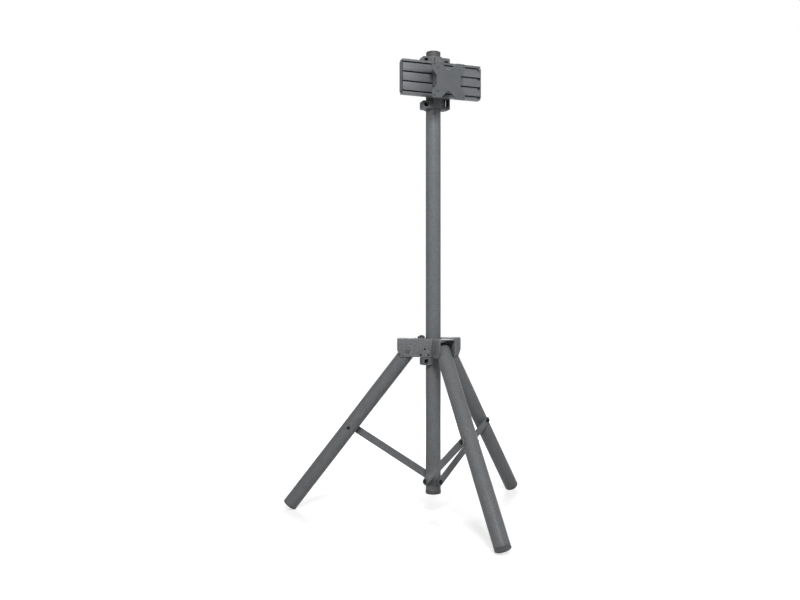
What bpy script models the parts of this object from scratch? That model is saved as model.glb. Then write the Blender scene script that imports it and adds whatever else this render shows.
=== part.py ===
# Display floor stand: a pole on three folding tube legs, with a clamped T-slot panel and a VESA plate.
# Units are metres, +Z is up, the floor is z = 0 and the display faces -Y.
# The origin lies on the floor under the middle of the stand's footprint.
# Each yoke, leg and brace is drawn in a local frame: x runs outward along its leg, y runs
# across it (anticlockwise seen from above) and z is up.

import math

import bmesh
import bpy
from mathutils import Matrix, Vector

for old in list(bpy.data.objects):
    bpy.data.objects.remove(old, do_unlink=True)

MM = 0.001

# Clearances
GAP = 0.3 * MM              # between pieces that touch
HOLE_PLAY = 0.3 * MM        # on the radius, around a pin or a screw
SLIDE_PLAY = 0.5 * MM       # between the pole or a leg and the hub's cheeks

# Tubes
TUBE_RADIUS = 25.0 * MM
TUBE_WALL = 2.5 * MM
TUBE_SIDES = 36
SMALL_SIDES = 16

# Pole
POLE_TOP = 1526.0 * MM      # top edge of the tube
POLE_BOTTOM = 83.3 * MM     # lower edge of the tube
TOP_PLUG_HEIGHT = 17.5 * MM
TOP_PLUG_RADIUS = 24.2 * MM
TOP_PLUG_ROUND = 2.5 * MM
RIB_DEPTH = 0.6 * MM
BASE_CAP_HEIGHT = 12.0 * MM
BASE_CAP_RADIUS = 25.6 * MM
SPIGOT_LENGTH = 20.0 * MM

# Hub
HUB_BOTTOM = 527.0 * MM
HUB_HEIGHT = 62.5 * MM
SHEET = 4.0 * MM
CHEEK_REACH = 117.6 * MM    # from the pole's axis to a yoke's outer end
SHORT_CHEEK_START = 60.0 * MM
BEND_RADIUS = 6.0 * MM
NOSE_LENGTH = 12.0 * MM     # chamfer at the lower outer corner of a cheek
NOSE_HEIGHT = 22.0 * MM
CHEEK = TUBE_RADIUS + SLIDE_PLAY        # from the middle plane to a cheek's inner face
CHEEK_OUT = CHEEK + SHEET
GUIDE_HEIGHT = 56.0 * MM
GUIDE_THIN = 8.0 * MM       # where the guide block's thin end lies along the cheek
GUIDE_BLUNT = 3.0 * MM      # cut off the block's outer corner
RIVET_RADIUS = 2.5 * MM
RIVET_HEAD_RADIUS = 3.6 * MM
RIVET_HEAD = 1.6 * MM
RIVET_GRIP = 4.0 * MM        # into the guide block
RIVET_PLACES = ((24.5 * MM, 26.4 * MM), (38.0 * MM, 7.4 * MM), (12.5 * MM, 7.4 * MM))

# Legs
LEG_ANGLE = math.radians(37.8)          # from vertical, stand unfolded
PIVOT_REACH = 82.0 * MM
PIVOT_HEIGHT = 20.5 * MM                # above the hub's lower edge
PIVOT_RADIUS = 5.0 * MM
PIVOT_HEAD_RADIUS = 7.5 * MM
PIVOT_HEAD = 4.0 * MM
PIVOT_TAIL = 2.4 * MM                   # riveted end, on the other cheek
PIVOT_WASHER_RADIUS = 6.0 * MM
LEG_STUB = 12.0 * MM                    # tube above the pivot
LEG_CAP_DOME = 9.5 * MM
LEG_CAP_SPIGOT = 5.0 * MM
FOOT_FLANGE = 4.0 * MM
FOOT_SPIGOT = 30.0 * MM
PIN_ALONG_LEG = 330.0 * MM              # from the pivot to the brace's screw
PIN_RADIUS = 4.0 * MM
PIN_HEAD_RADIUS = 5.5 * MM
PIN_HEAD = 2.5 * MM

# Braces
BRACE_WIDTH = 25.0 * MM
BRACE_THICK = 5.0 * MM
BRACE_FOOT_HEIGHT = 112.0 * MM          # of the lower screws above the floor
SCREW_RADIUS = 4.0 * MM
SCREW_HEAD_RADIUS = 7.5 * MM
SCREW_HEAD = 5.0 * MM
SCREW_IN_POLE = 9.0 * MM
HEAD_CROWN = 0.35                       # round part of a screw's head
SOCKET_RADIUS = 2.6 * MM
SOCKET_DEPTH = 3.0 * MM

# Hub lock, on the right rear cheek
LOCK_HEIGHT = 51.5 * MM                 # above the hub's lower edge
LOCK_SPINDLE_RADIUS = 5.0 * MM
LOCK_SPINDLE_POINT = 1.0 * MM           # chamfer at the tip
LOCK_BOSS_RADIUS = 9.0 * MM
LOCK_BOSS_LENGTH = 7.0 * MM
KNOB_RADIUS = 20.0 * MM
KNOB_THICK = 16.0 * MM
KNOB_INNER_FACE = 42.0 * MM             # from the pole's axis
KNOB_BORE_DEPTH = 10.0 * MM
KNOB_FLUTE = 0.8 * MM
KNOB_BEVEL = 2.0 * MM

# Pipe clamps
CLAMP_HEIGHT = 25.0 * MM
CLAMP_BORE = TUBE_RADIUS + GAP
CLAMP_RING = 33.0 * MM
CLAMP_SPLIT = 0.5 * MM                  # half of the gap between the two halves
LOBE_IN = 15.0 * MM
LOBE_OUT = 49.0 * MM
STRAP_OUT = 44.5 * MM                   # outer end of a rear half's lobes
LOBE_DEPTH_FRONT = 27.0 * MM
LOBE_DEPTH_REAR = 10.0 * MM
LOBE_ROUND = 4.0 * MM
CLAMP_SCREW_REACH = 36.0 * MM
COUNTERBORE_RADIUS = 7.8 * MM
COUNTERBORE_DEPTH = 14.0 * MM
SOCKET_HEAD_RADIUS = 6.3 * MM
SOCKET_HEAD = 7.0 * MM
CLAMP_SOCKET_RADIUS = 3.2 * MM
RING_INSET = 1.5 * MM                   # of the ring's end faces behind the lobes'
HINGE_LOBE_HEIGHT = 52.0 * MM
HINGE_WINDOW_WIDTH = 18.0 * MM
HINGE_WINDOW_START = 10.0 * MM
HINGE_WINDOW_END = 47.0 * MM
HINGE_WINDOW_ROUND = 5.4 * MM
HINGE_KNUCKLE_START = 35.0 * MM
HINGE_KNUCKLE_HEIGHT = 8.0 * MM
HINGE_KNUCKLE_WIDTH = 16.0 * MM
HINGE_KNUCKLE_RADIUS = 7.2 * MM
HINGE_HOLE_START = 4.0 * MM             # depth the pin's hole is drilled to
HINGE_PIN_RADIUS = 4.0 * MM
HINGE_PIN_FORWARD = 9.0 * MM            # from the split plane to the hinge pin
COLLAR_GAP = 0.5 * MM                   # between the stop collar and the hub

# Head
HEAD_DROP = 91.0 * MM                   # from the pole's top edge to the panel's middle
PANEL_HEIGHT = 112.0 * MM
PANEL_LENGTH = 276.0 * MM
PANEL_DEPTH = 25.0 * MM
PANEL_FRONT = 75.0 * MM                 # from the pole's axis
PANEL_EDGE = 2.0 * MM                   # chamfer along the long edges
SLOT_PITCH = 31.0 * MM
SLOT_COUNT = 4
SLOT_OPENING = 4.6 * MM
SLOT_LIP = 2.5 * MM
SLOT_WIDTH = 11.0 * MM
SLOT_DEPTH = 9.0 * MM
END_DIP_START = 11.0 * MM               # dip under each slot, from the panel's right end
END_DIP_END = 2.0 * MM
END_DIP_HEIGHT = 7.0 * MM               # below the slot's middle
PANEL_CAP = 3.0 * MM
PANEL_CAP_HEIGHT = 98.0 * MM
PANEL_CAP_DEPTH = 20.0 * MM
PANEL_CAP_ROUND = 2.0 * MM
CLAMP_SPAN = 171.0 * MM                 # over both pipe clamps
BACK_PLATE_HEIGHT = 112.0 * MM
BACK_PLATE_WIDTH = 84.0 * MM
BACK_PLATE_THICK = 5.0 * MM
RIB_WIDTH = 24.0 * MM                   # of the rib that joins a saddle to the back plate
RIB_HEIGHT = 62.0 * MM
RIB_START = 3.0 * MM                    # above the clamp's outer face
RIB_ROOT = 29.7 * MM                    # from the pole's axis, inside the ring

# Plate carriage
PLATE_DROP = 15.5 * MM                  # from the panel's middle to the plate's middle
PLATE_SIZE = 115.0 * MM
PLATE_THICK = 4.0 * MM
PLATE_FRONT = 125.0 * MM                # from the pole's axis
PLATE_CORNER = 5.0 * MM
SIDE_NOTCH_MOUTH = 33.0 * MM            # half heights of the notches in the plate's sides
SIDE_NOTCH_FLOOR = 14.0 * MM
SIDE_NOTCH_DEPTH = 16.0 * MM
END_NOTCH_MOUTH = 27.0 * MM
END_NOTCH_FLOOR = 3.0 * MM
END_NOTCH_DEPTH = 25.0 * MM
VESA_WIDE = 100.0 * MM
VESA_NARROW = 75.0 * MM
VESA_HOLE_RADIUS = 2.5 * MM
STANDOFF_WIDTH = 72.0 * MM
STANDOFF_HEIGHT = 50.0 * MM
STANDOFF_WALL = 4.0 * MM
STANDOFF_ROUND = 5.0 * MM
SLOT_SCREW_RADIUS = 2.0 * MM
SLOT_SCREW_SPREAD = 20.0 * MM
SLOT_HEAD_RADIUS = 4.5 * MM
SLOT_HEAD = 4.0 * MM
SLOT_SOCKET_RADIUS = 1.6 * MM
SLOT_NUT_LENGTH = 16.0 * MM

# Worked out from the sizes above
PIVOT_Z = HUB_BOTTOM + PIVOT_HEIGHT
LEG_LENGTH = (PIVOT_Z - TUBE_RADIUS * math.sin(LEG_ANGLE)) / math.cos(LEG_ANGLE)
PIN_REACH = PIVOT_REACH + PIN_ALONG_LEG * math.sin(LEG_ANGLE)
PIN_Z = PIVOT_Z - PIN_ALONG_LEG * math.cos(LEG_ANGLE)
BRACE_RISE = PIN_Z - BRACE_FOOT_HEIGHT
BRACE_LENGTH = math.hypot(PIN_REACH, BRACE_RISE)
BRACE_ANGLE = math.atan2(PIN_REACH, BRACE_RISE)
BRACE_FACE = TUBE_RADIUS + GAP          # inner face of a brace bar, from its leg's middle plane
FOOT_REACH = PIVOT_REACH + LEG_LENGTH * math.sin(LEG_ANGLE)
TUBE_BORE = TUBE_RADIUS - TUBE_WALL
SPIGOT_RADIUS = TUBE_BORE - GAP
COLLAR_BOTTOM = HUB_BOTTOM - COLLAR_GAP - CLAMP_HEIGHT
PANEL_MIDDLE = POLE_TOP - HEAD_DROP
PLATE_MIDDLE = PANEL_MIDDLE - PLATE_DROP

LEGS = {"front": math.radians(270.0), "right": math.radians(30.0), "left": math.radians(150.0)}


def foot_extent(azimuth, angle_of_axis):
    """How far a foot reaches from the pole's axis along the direction angle_of_axis."""
    along = math.cos(azimuth - angle_of_axis)
    disc = TUBE_RADIUS * math.sqrt(1.0 - (math.sin(LEG_ANGLE) * along) ** 2)
    return FOOT_REACH * along + disc


# The pole stands behind the origin, so that the footprint is centred on it.
FRONT_EXTENT = foot_extent(LEGS["front"], math.radians(270.0))
REAR_EXTENT = foot_extent(LEGS["right"], math.radians(90.0))
POLE_Y = 0.5 * (FRONT_EXTENT - REAR_EXTENT)

DARK_COAT = (0.075, 0.078, 0.082, 1.0)
HUB_COAT = (0.095, 0.098, 0.102, 1.0)
ANODISED = (0.090, 0.092, 0.095, 1.0)
BLACK_PLASTIC = (0.018, 0.018, 0.019, 1.0)
GREY_PLASTIC = (0.050, 0.050, 0.052, 1.0)
DARK_STEEL = (0.060, 0.060, 0.062, 1.0)


def paint(body, colour, metallic, roughness):
    material = bpy.data.materials.new(body.name)
    material.use_nodes = True
    surface = material.node_tree.nodes["Principled BSDF"]
    surface.inputs["Base Color"].default_value = colour
    surface.inputs["Metallic"].default_value = metallic
    surface.inputs["Roughness"].default_value = roughness
    body.data.materials.clear()
    body.data.materials.append(material)


def solid(name, shape):
    """Make an object from a bmesh with its faces pointing out."""
    bmesh.ops.recalc_face_normals(shape, faces=shape.faces)
    mesh = bpy.data.meshes.new(name)
    shape.to_mesh(mesh)
    shape.free()
    body = bpy.data.objects.new(name, mesh)
    bpy.context.scene.collection.objects.link(body)
    return body


def place(body, frame, colour, metallic=0.0, roughness=0.5):
    """Put a finished piece in its frame, paint it and shade its round faces smooth."""
    body.matrix_world = frame
    body.data.shade_smooth()
    body.data.set_sharp_from_angle(angle=math.radians(35.0))
    paint(body, colour, metallic, roughness)
    return body


def turned(name, profile, sides=SMALL_SIDES, rib=0.0, ribbed=()):
    """Turn a closed (radius, z) outline around z. Points on the axis become single vertices.

    Every second vertex of the rings listed in ribbed lies rib further in, which makes flutes.
    """
    shape = bmesh.new()
    rings = []
    for index, (radius, z) in enumerate(profile):
        if radius < 1e-9:
            rings.append([shape.verts.new((0.0, 0.0, z))])
            continue
        ring = []
        for side in range(sides):
            turn = 2.0 * math.pi * side / sides
            reach = radius - (rib if index in ribbed and side % 2 else 0.0)
            ring.append(shape.verts.new((reach * math.cos(turn), reach * math.sin(turn), z)))
        rings.append(ring)
    for index, ring in enumerate(rings):
        other = rings[(index + 1) % len(rings)]
        if len(ring) == 1 and len(other) == 1:
            continue
        for side in range(sides):
            after = (side + 1) % sides
            if len(ring) == 1:
                shape.faces.new((ring[0], other[after], other[side]))
            elif len(other) == 1:
                shape.faces.new((ring[side], ring[after], other[0]))
            else:
                shape.faces.new((ring[side], ring[after], other[after], other[side]))
    return solid(name, shape)


def slab(name, outline, start, end, across="z"):
    """Extrude a flat outline from start to end across the named axis.

    The outline's two numbers are (x, y) across z, (x, z) across y and (y, z) across x.
    """
    orders = {
        "z": lambda a, b, c: (a, b, c),
        "y": lambda a, b, c: (a, c, b),
        "x": lambda a, b, c: (c, a, b),
    }
    order = orders[across]
    shape = bmesh.new()
    low = [shape.verts.new(order(a, b, start)) for a, b in outline]
    high = [shape.verts.new(order(a, b, end)) for a, b in outline]
    shape.faces.new(low)
    shape.faces.new(high)
    count = len(outline)
    for index in range(count):
        after = (index + 1) % count
        shape.faces.new((low[index], low[after], high[after], high[index]))
    return solid(name, shape)


def box(name, x0, x1, y0, y1, z0, z1):
    return slab(name, [(x0, y0), (x1, y0), (x1, y1), (x0, y1)], z0, z1)


def arc(centre, radius, start, end, steps):
    """Points of an arc from start to end degrees."""
    points = []
    for step in range(steps + 1):
        turn = math.radians(start + (end - start) * step / steps)
        points.append((centre[0] + radius * math.cos(turn), centre[1] + radius * math.sin(turn)))
    return points


def rounded(x0, x1, y0, y1, radius, steps=3):
    """A rectangle with round corners."""
    points = []
    corners = ((x1, y0, -90.0, -1, 1), (x1, y1, 0.0, -1, -1), (x0, y1, 90.0, 1, -1), (x0, y0, 180.0, 1, 1))
    for x, y, turn, to_x, to_y in corners:
        centre = (x + to_x * radius, y + to_y * radius)
        points += arc(centre, radius, turn, turn + 90.0, steps)
    return points


def rod(name, centre, direction, radius, start, end, sides=SMALL_SIDES):
    """A plain cylinder along direction from centre, from start to end."""
    body = turned(name, [(0.0, start), (radius, start), (radius, end), (0.0, end)], sides)
    turn = Vector((0.0, 0.0, 1.0)).rotation_difference(Vector(direction)).to_matrix().to_4x4()
    body.data.transform(Matrix.Translation(Vector(centre)) @ turn)
    return body


def combine(body, others, operation):
    """Cut or join the other bodies with body, one after another, and remove them."""
    for other in others:
        step = body.modifiers.new("step", "BOOLEAN")
        step.operation = operation
        step.solver = "EXACT"
        step.object = other
        bpy.context.view_layer.update()
        graph = bpy.context.evaluated_depsgraph_get()
        mesh = bpy.data.meshes.new_from_object(body.evaluated_get(graph))
        body.modifiers.clear()
        old = body.data
        body.data = mesh
        bpy.data.meshes.remove(old)
        bpy.data.objects.remove(other, do_unlink=True)
    return body


def cut(body, *cutters):
    return combine(body, cutters, "DIFFERENCE")


def join(body, *others):
    return combine(body, others, "UNION")


def frame_at(azimuth=0.0, reach=0.0, z=0.0, lean=0.0):
    """A local frame on the pole's axis: turned to azimuth, moved out by reach, then leaned about y."""
    return (
        Matrix.Translation((0.0, POLE_Y, 0.0))
        @ Matrix.Rotation(azimuth, 4, "Z")
        @ Matrix.Translation((reach, 0.0, z))
        @ Matrix.Rotation(lean, 4, "Y")
    )


def screw(name, radius, length, head_radius, head, socket=SOCKET_RADIUS):
    """A button screw along z: the head sits above z = 0, the shank below it."""
    crown = HEAD_CROWN * head
    return turned(name, [
        (0.0, -length), (radius, -length), (radius, 0.0), (head_radius, 0.0),
        (head_radius, head - crown), (head_radius - crown, head), (socket, head),
        (socket, head - SOCKET_DEPTH), (0.0, head - SOCKET_DEPTH),
    ])


def laid(direction):
    """A turn that lays a piece drawn along z along +y or -y."""
    return Matrix.Rotation(-direction * math.pi / 2.0, 4, "X")


# Pole

def make_pole():
    tube = turned("pole_tube", [
        (TUBE_BORE, POLE_BOTTOM), (TUBE_RADIUS, POLE_BOTTOM),
        (TUBE_RADIUS, POLE_TOP), (TUBE_BORE, POLE_TOP),
    ], TUBE_SIDES)
    for azimuth in LEGS.values():
        direction = (math.sin(azimuth), -math.cos(azimuth), 0.0)
        hole = rod("hole", (0.0, 0.0, BRACE_FOOT_HEIGHT), direction, SCREW_RADIUS + HOLE_PLAY,
                   0.5 * TUBE_RADIUS, 1.5 * TUBE_RADIUS)
        cut(tube, hole)
    place(tube, frame_at(), DARK_COAT, 0.0, 0.45)


def make_top_plug():
    seat = GAP
    round_top = TOP_PLUG_ROUND
    plug = turned("pole_top_plug", [
        (0.0, -SPIGOT_LENGTH), (SPIGOT_RADIUS, -SPIGOT_LENGTH), (SPIGOT_RADIUS, seat),
        (TOP_PLUG_RADIUS, seat), (TOP_PLUG_RADIUS, TOP_PLUG_HEIGHT - round_top),
        (TOP_PLUG_RADIUS - 0.3 * round_top, TOP_PLUG_HEIGHT - 0.3 * round_top),
        (TOP_PLUG_RADIUS - round_top, TOP_PLUG_HEIGHT), (0.0, TOP_PLUG_HEIGHT),
    ], TUBE_SIDES, RIB_DEPTH, (3, 4, 5))
    place(plug, frame_at(z=POLE_TOP), BLACK_PLASTIC, 0.0, 0.5)


def make_base_cap():
    bevel = 0.1 * BASE_CAP_HEIGHT
    cap = turned("pole_base_cap", [
        (0.0, -BASE_CAP_HEIGHT), (BASE_CAP_RADIUS - bevel, -BASE_CAP_HEIGHT),
        (BASE_CAP_RADIUS, bevel - BASE_CAP_HEIGHT), (BASE_CAP_RADIUS, -GAP), (SPIGOT_RADIUS, -GAP),
        (SPIGOT_RADIUS, SPIGOT_LENGTH), (0.0, SPIGOT_LENGTH),
    ], TUBE_SIDES)
    place(cap, frame_at(z=POLE_BOTTOM), BLACK_PLASTIC, 0.0, 0.55)


def make_brace_bolt(side, azimuth):
    outer = BRACE_FACE + BRACE_THICK + GAP
    bolt = screw("brace_bolt_" + side, SCREW_RADIUS, outer - TUBE_BORE + SCREW_IN_POLE,
                 SCREW_HEAD_RADIUS, SCREW_HEAD)
    frame = frame_at(azimuth, 0.0, BRACE_FOOT_HEIGHT)
    place(bolt, frame @ Matrix.Translation((0.0, -outer, 0.0)) @ laid(-1), DARK_STEEL, 0.8, 0.4)


# Hub

def yoke_section():
    """The channel's section in (y, z), open at the bottom."""
    inner = BEND_RADIUS - SHEET
    top = HUB_HEIGHT
    points = [(CHEEK_OUT, 0.0)]
    points += arc((CHEEK_OUT - BEND_RADIUS, top - BEND_RADIUS), BEND_RADIUS, 0.0, 90.0, 4)
    points += arc((BEND_RADIUS - CHEEK_OUT, top - BEND_RADIUS), BEND_RADIUS, 90.0, 180.0, 4)
    points += [(-CHEEK_OUT, 0.0), (-CHEEK, 0.0)]
    points += arc((BEND_RADIUS - CHEEK_OUT, top - BEND_RADIUS), inner, 180.0, 90.0, 2)
    points += arc((CHEEK_OUT - BEND_RADIUS, top - BEND_RADIUS), inner, 90.0, 0.0, 2)
    points += [(CHEEK, 0.0)]
    return points


def neighbour_line(y, distance):
    """Where the face of a neighbouring long cheek, distance from the pole's axis, crosses y."""
    return (distance + 0.5 * y) / math.cos(math.radians(30.0))


def make_yoke(side, azimuth):
    far = 2.0 * CHEEK_REACH
    low = -SHEET
    high = HUB_HEIGHT + SHEET
    yoke = slab("hub_yoke_" + side, yoke_section(), -SHORT_CHEEK_START, CHEEK_REACH, "x")
    roof = box("roof", -far, SHORT_CHEEK_START, -far, CHEEK, low, high)
    clear = CHEEK - GAP
    mitre = slab("mitre", [
        (-neighbour_line(0.0, clear), 0.0), (-neighbour_line(far, clear), far), (-far, far), (-far, 0.0),
    ], low, high)
    nose = slab("nose", [
        (CHEEK_REACH - NOSE_LENGTH, 0.0), (CHEEK_REACH, NOSE_HEIGHT), (far, NOSE_HEIGHT), (far, -far),
        (CHEEK_REACH - NOSE_LENGTH, -far),
    ], -far, far, "y")
    pivot = rod("pivot", (PIVOT_REACH, 0.0, PIVOT_HEIGHT), (0.0, 1.0, 0.0),
                PIVOT_RADIUS + HOLE_PLAY, -far, far)
    holes = [rod("rivet", (x, 0.0, z), (0.0, 1.0, 0.0), RIVET_RADIUS + HOLE_PLAY, 0.0, far, 12)
             for x, z in RIVET_PLACES]
    cut(yoke, roof, mitre, nose, pivot, *holes)
    if side == "right":
        cut(yoke, rod("lock", (0.0, 0.0, LOCK_HEIGHT), (0.0, 1.0, 0.0),
                      LOCK_SPINDLE_RADIUS + HOLE_PLAY, 0.0, far))
    place(yoke, frame_at(azimuth, 0.0, HUB_BOTTOM), HUB_COAT, 0.0, 0.45)


def make_guide(side, azimuth):
    """A block between the long cheek, the neighbour's long cheek and the pole, with its rivets."""
    face = CHEEK - GAP
    bore = TUBE_RADIUS + SLIDE_PLAY
    thin = math.degrees(math.asin(face / math.hypot(GUIDE_THIN, face)))
    corner = neighbour_line(face, face)
    corner_angle = math.degrees(math.atan2(face, corner))
    far_angle = 2.0 * corner_angle - thin
    reach = math.hypot(GUIDE_THIN, face)
    blunt = GUIDE_BLUNT
    along = (math.cos(math.radians(60.0)), math.sin(math.radians(60.0)))
    outline = arc((0.0, 0.0), bore, thin, far_angle, 8)
    outline.append((reach * math.cos(math.radians(far_angle)), reach * math.sin(math.radians(far_angle))))
    outline.append((corner - blunt * along[0], face - blunt * along[1]))
    outline.append((corner - blunt, face))
    outline.append((GUIDE_THIN, face))
    margin = 0.5 * (HUB_HEIGHT - GUIDE_HEIGHT)
    guide = slab("hub_guide_" + side, outline, margin, margin + GUIDE_HEIGHT)
    outside = CHEEK_OUT + GAP
    for x, z in RIVET_PLACES:
        pole_side = math.sqrt(max(bore ** 2 - (x - RIVET_RADIUS) ** 2, 0.0))
        root = max(pole_side + GAP, face - RIVET_GRIP)
        rivet = turned("rivet", [
            (0.0, root), (RIVET_RADIUS, root), (RIVET_RADIUS, outside), (RIVET_HEAD_RADIUS, outside),
            (0.75 * RIVET_HEAD_RADIUS, outside + RIVET_HEAD), (0.0, outside + RIVET_HEAD),
        ], 12)
        rivet.data.transform(Matrix.Translation((x, 0.0, z)) @ laid(1))
        join(guide, rivet)
    place(guide, frame_at(azimuth, 0.0, HUB_BOTTOM), GREY_PLASTIC, 0.0, 0.5)


def make_pivot(side, azimuth):
    outside = CHEEK_OUT + GAP
    crown = HEAD_CROWN * PIVOT_HEAD
    tail = PIVOT_TAIL
    washer = PIVOT_WASHER_RADIUS
    pivot = turned("leg_pivot_" + side, [
        (0.0, -outside - tail), (PIVOT_RADIUS, -outside - tail), (washer, -outside - 0.6 * tail),
        (washer, -outside), (PIVOT_RADIUS, -outside), (PIVOT_RADIUS, outside),
        (PIVOT_HEAD_RADIUS, outside), (PIVOT_HEAD_RADIUS, outside + PIVOT_HEAD - crown),
        (PIVOT_HEAD_RADIUS - crown, outside + PIVOT_HEAD), (0.0, outside + PIVOT_HEAD),
    ])
    place(pivot, frame_at(azimuth, PIVOT_REACH, PIVOT_Z) @ laid(1), DARK_STEEL, 0.8, 0.4)


def make_lock():
    """The boss, the spindle and the knob stand square on the right leg's long cheek."""
    frame = frame_at(LEGS["right"], 0.0, HUB_BOTTOM + LOCK_HEIGHT) @ laid(1)
    seat = CHEEK_OUT + GAP
    bore = LOCK_SPINDLE_RADIUS + HOLE_PLAY
    boss = turned("lock_boss", [
        (bore, seat), (LOCK_BOSS_RADIUS, seat), (LOCK_BOSS_RADIUS, seat + LOCK_BOSS_LENGTH),
        (bore, seat + LOCK_BOSS_LENGTH),
    ])
    place(boss, frame, HUB_COAT, 0.0, 0.45)
    tip = TUBE_RADIUS + GAP
    spindle_end = KNOB_INNER_FACE + KNOB_BORE_DEPTH - GAP
    point = LOCK_SPINDLE_POINT
    spindle = turned("lock_spindle", [
        (0.0, tip), (LOCK_SPINDLE_RADIUS - point, tip), (LOCK_SPINDLE_RADIUS, tip + point),
        (LOCK_SPINDLE_RADIUS, spindle_end), (0.0, spindle_end),
    ])
    place(spindle, frame, DARK_STEEL, 0.9, 0.35)
    inner = KNOB_INNER_FACE
    outer = KNOB_INNER_FACE + KNOB_THICK
    bevel = KNOB_BEVEL
    bore_end = inner + KNOB_BORE_DEPTH
    knob = turned("lock_knob", [
        (bore, inner), (KNOB_RADIUS - bevel, inner), (KNOB_RADIUS, inner + bevel),
        (KNOB_RADIUS, outer - bevel), (KNOB_RADIUS - bevel, outer), (0.0, outer),
        (0.0, bore_end), (bore, bore_end),
    ], 2 * SMALL_SIDES, KNOB_FLUTE, (2, 3))
    place(knob, frame, BLACK_PLASTIC, 0.0, 0.5)


# Legs

def make_leg(side, azimuth):
    frame = frame_at(azimuth, PIVOT_REACH, PIVOT_Z, -LEG_ANGLE)
    low = FOOT_FLANGE - LEG_LENGTH + GAP
    tube = turned("leg_tube_" + side, [
        (TUBE_BORE, low), (TUBE_RADIUS, low), (TUBE_RADIUS, LEG_STUB), (TUBE_BORE, LEG_STUB),
    ], TUBE_SIDES)
    far = 2.0 * TUBE_RADIUS
    cut(tube,
        rod("pivot", (0.0, 0.0, 0.0), (0.0, 1.0, 0.0), PIVOT_RADIUS + HOLE_PLAY, -far, far),
        rod("pin", (0.0, 0.0, -PIN_ALONG_LEG), (0.0, 1.0, 0.0), PIN_RADIUS + HOLE_PLAY, -far, far))
    place(tube, frame, DARK_COAT, 0.0, 0.45)

    seat = LEG_STUB + GAP
    top = LEG_STUB + LEG_CAP_DOME
    cap = turned("leg_top_cap_" + side, [
        (0.0, LEG_STUB - LEG_CAP_SPIGOT), (SPIGOT_RADIUS, LEG_STUB - LEG_CAP_SPIGOT),
        (SPIGOT_RADIUS, seat), (TUBE_RADIUS, seat),
        (TUBE_RADIUS - 0.2 * LEG_CAP_DOME, seat + 0.55 * LEG_CAP_DOME), (TUBE_RADIUS - LEG_CAP_DOME, top),
        (0.0, top),
    ], TUBE_SIDES)
    place(cap, frame, BLACK_PLASTIC, 0.0, 0.5)

    foot = turned("leg_foot_" + side, [
        (0.0, -LEG_LENGTH), (TUBE_RADIUS, -LEG_LENGTH), (TUBE_RADIUS, FOOT_FLANGE - LEG_LENGTH),
        (SPIGOT_RADIUS, FOOT_FLANGE - LEG_LENGTH), (SPIGOT_RADIUS, FOOT_SPIGOT - LEG_LENGTH),
        (0.0, FOOT_SPIGOT - LEG_LENGTH),
    ], TUBE_SIDES)
    place(foot, frame, BLACK_PLASTIC, 0.0, 0.6)

    head = TUBE_RADIUS + GAP
    pin = turned("leg_pin_" + side, [
        (0.0, -TUBE_RADIUS), (PIN_RADIUS, -TUBE_RADIUS), (PIN_RADIUS, head), (PIN_HEAD_RADIUS, head),
        (PIN_HEAD_RADIUS - HEAD_CROWN * PIN_HEAD, head + PIN_HEAD), (0.0, head + PIN_HEAD),
    ])
    pin_frame = frame @ Matrix.Translation((0.0, 0.0, -PIN_ALONG_LEG))
    place(pin, pin_frame @ laid(1), DARK_STEEL, 0.8, 0.4)


# Braces

def make_brace(side, azimuth):
    frame = frame_at(azimuth, 0.0, BRACE_FOOT_HEIGHT, BRACE_ANGLE)
    half = 0.5 * BRACE_WIDTH
    outline = arc((0.0, 0.0), half, 180.0, 360.0, 10) + arc((0.0, BRACE_LENGTH), half, 0.0, 180.0, 10)
    outer = BRACE_FACE + BRACE_THICK
    bar = slab("brace_bar_" + side, outline, -outer, -BRACE_FACE, "y")
    for z in (0.0, BRACE_LENGTH):
        cut(bar, rod("hole", (0.0, 0.0, z), (0.0, 1.0, 0.0), SCREW_RADIUS + HOLE_PLAY,
                     -2.0 * outer, 0.0))
    place(bar, frame, DARK_COAT, 0.0, 0.45)
    fixing = screw("brace_screw_" + side, SCREW_RADIUS, outer - TUBE_RADIUS,
                   SCREW_HEAD_RADIUS, SCREW_HEAD)
    screw_frame = frame @ Matrix.Translation((0.0, -outer - GAP, BRACE_LENGTH))
    place(fixing, screw_frame @ laid(-1), DARK_STEEL, 0.8, 0.4)


# Pipe clamps. The clamp's own frame has x to the display's right, -y to the front and z = 0 at the
# lower face. The upper clamp of the head is the same clamp mirrored top to bottom.

def clamp_half(name, front, hinged):
    """One half of a clamp: a half ring with two lobes."""
    way = -1.0 if front else 1.0
    depth = LOBE_DEPTH_FRONT if front else LOBE_DEPTH_REAR
    out = LOBE_OUT if front else STRAP_OUT
    turn = 180.0 if front else 0.0
    edge = math.degrees(math.asin(CLAMP_SPLIT / CLAMP_RING))
    half = slab(name, arc((0.0, 0.0), CLAMP_RING, turn + edge, turn + 180.0 - edge, 14),
                RING_INSET, CLAMP_HEIGHT - RING_INSET)
    near, far = sorted((way * CLAMP_SPLIT, way * depth))
    left = slab("left", rounded(-out, -LOBE_IN, 0.0, CLAMP_HEIGHT, LOBE_ROUND), near, far, "y")
    tall = HINGE_LOBE_HEIGHT if hinged and front else CLAMP_HEIGHT
    right = slab("right", rounded(LOBE_IN, out, 0.0, tall, LOBE_ROUND), near, far, "y")
    join(half, left, right)
    return half


def bore_clamp(half, hinged):
    """Cut the pole's bore and the screw's hole, and on a plain collar the second hole."""
    far = 3.0 * CLAMP_HEIGHT
    cut(half, rod("bore", (0.0, 0.0, 0.0), (0.0, 0.0, 1.0), CLAMP_BORE, -far, far, TUBE_SIDES))
    for x in clamp_screws(hinged):
        centre = (x, 0.0, 0.5 * CLAMP_HEIGHT)
        cut(half, rod("hole", centre, (0.0, 1.0, 0.0), SCREW_RADIUS + HOLE_PLAY, -far, far))


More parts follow.
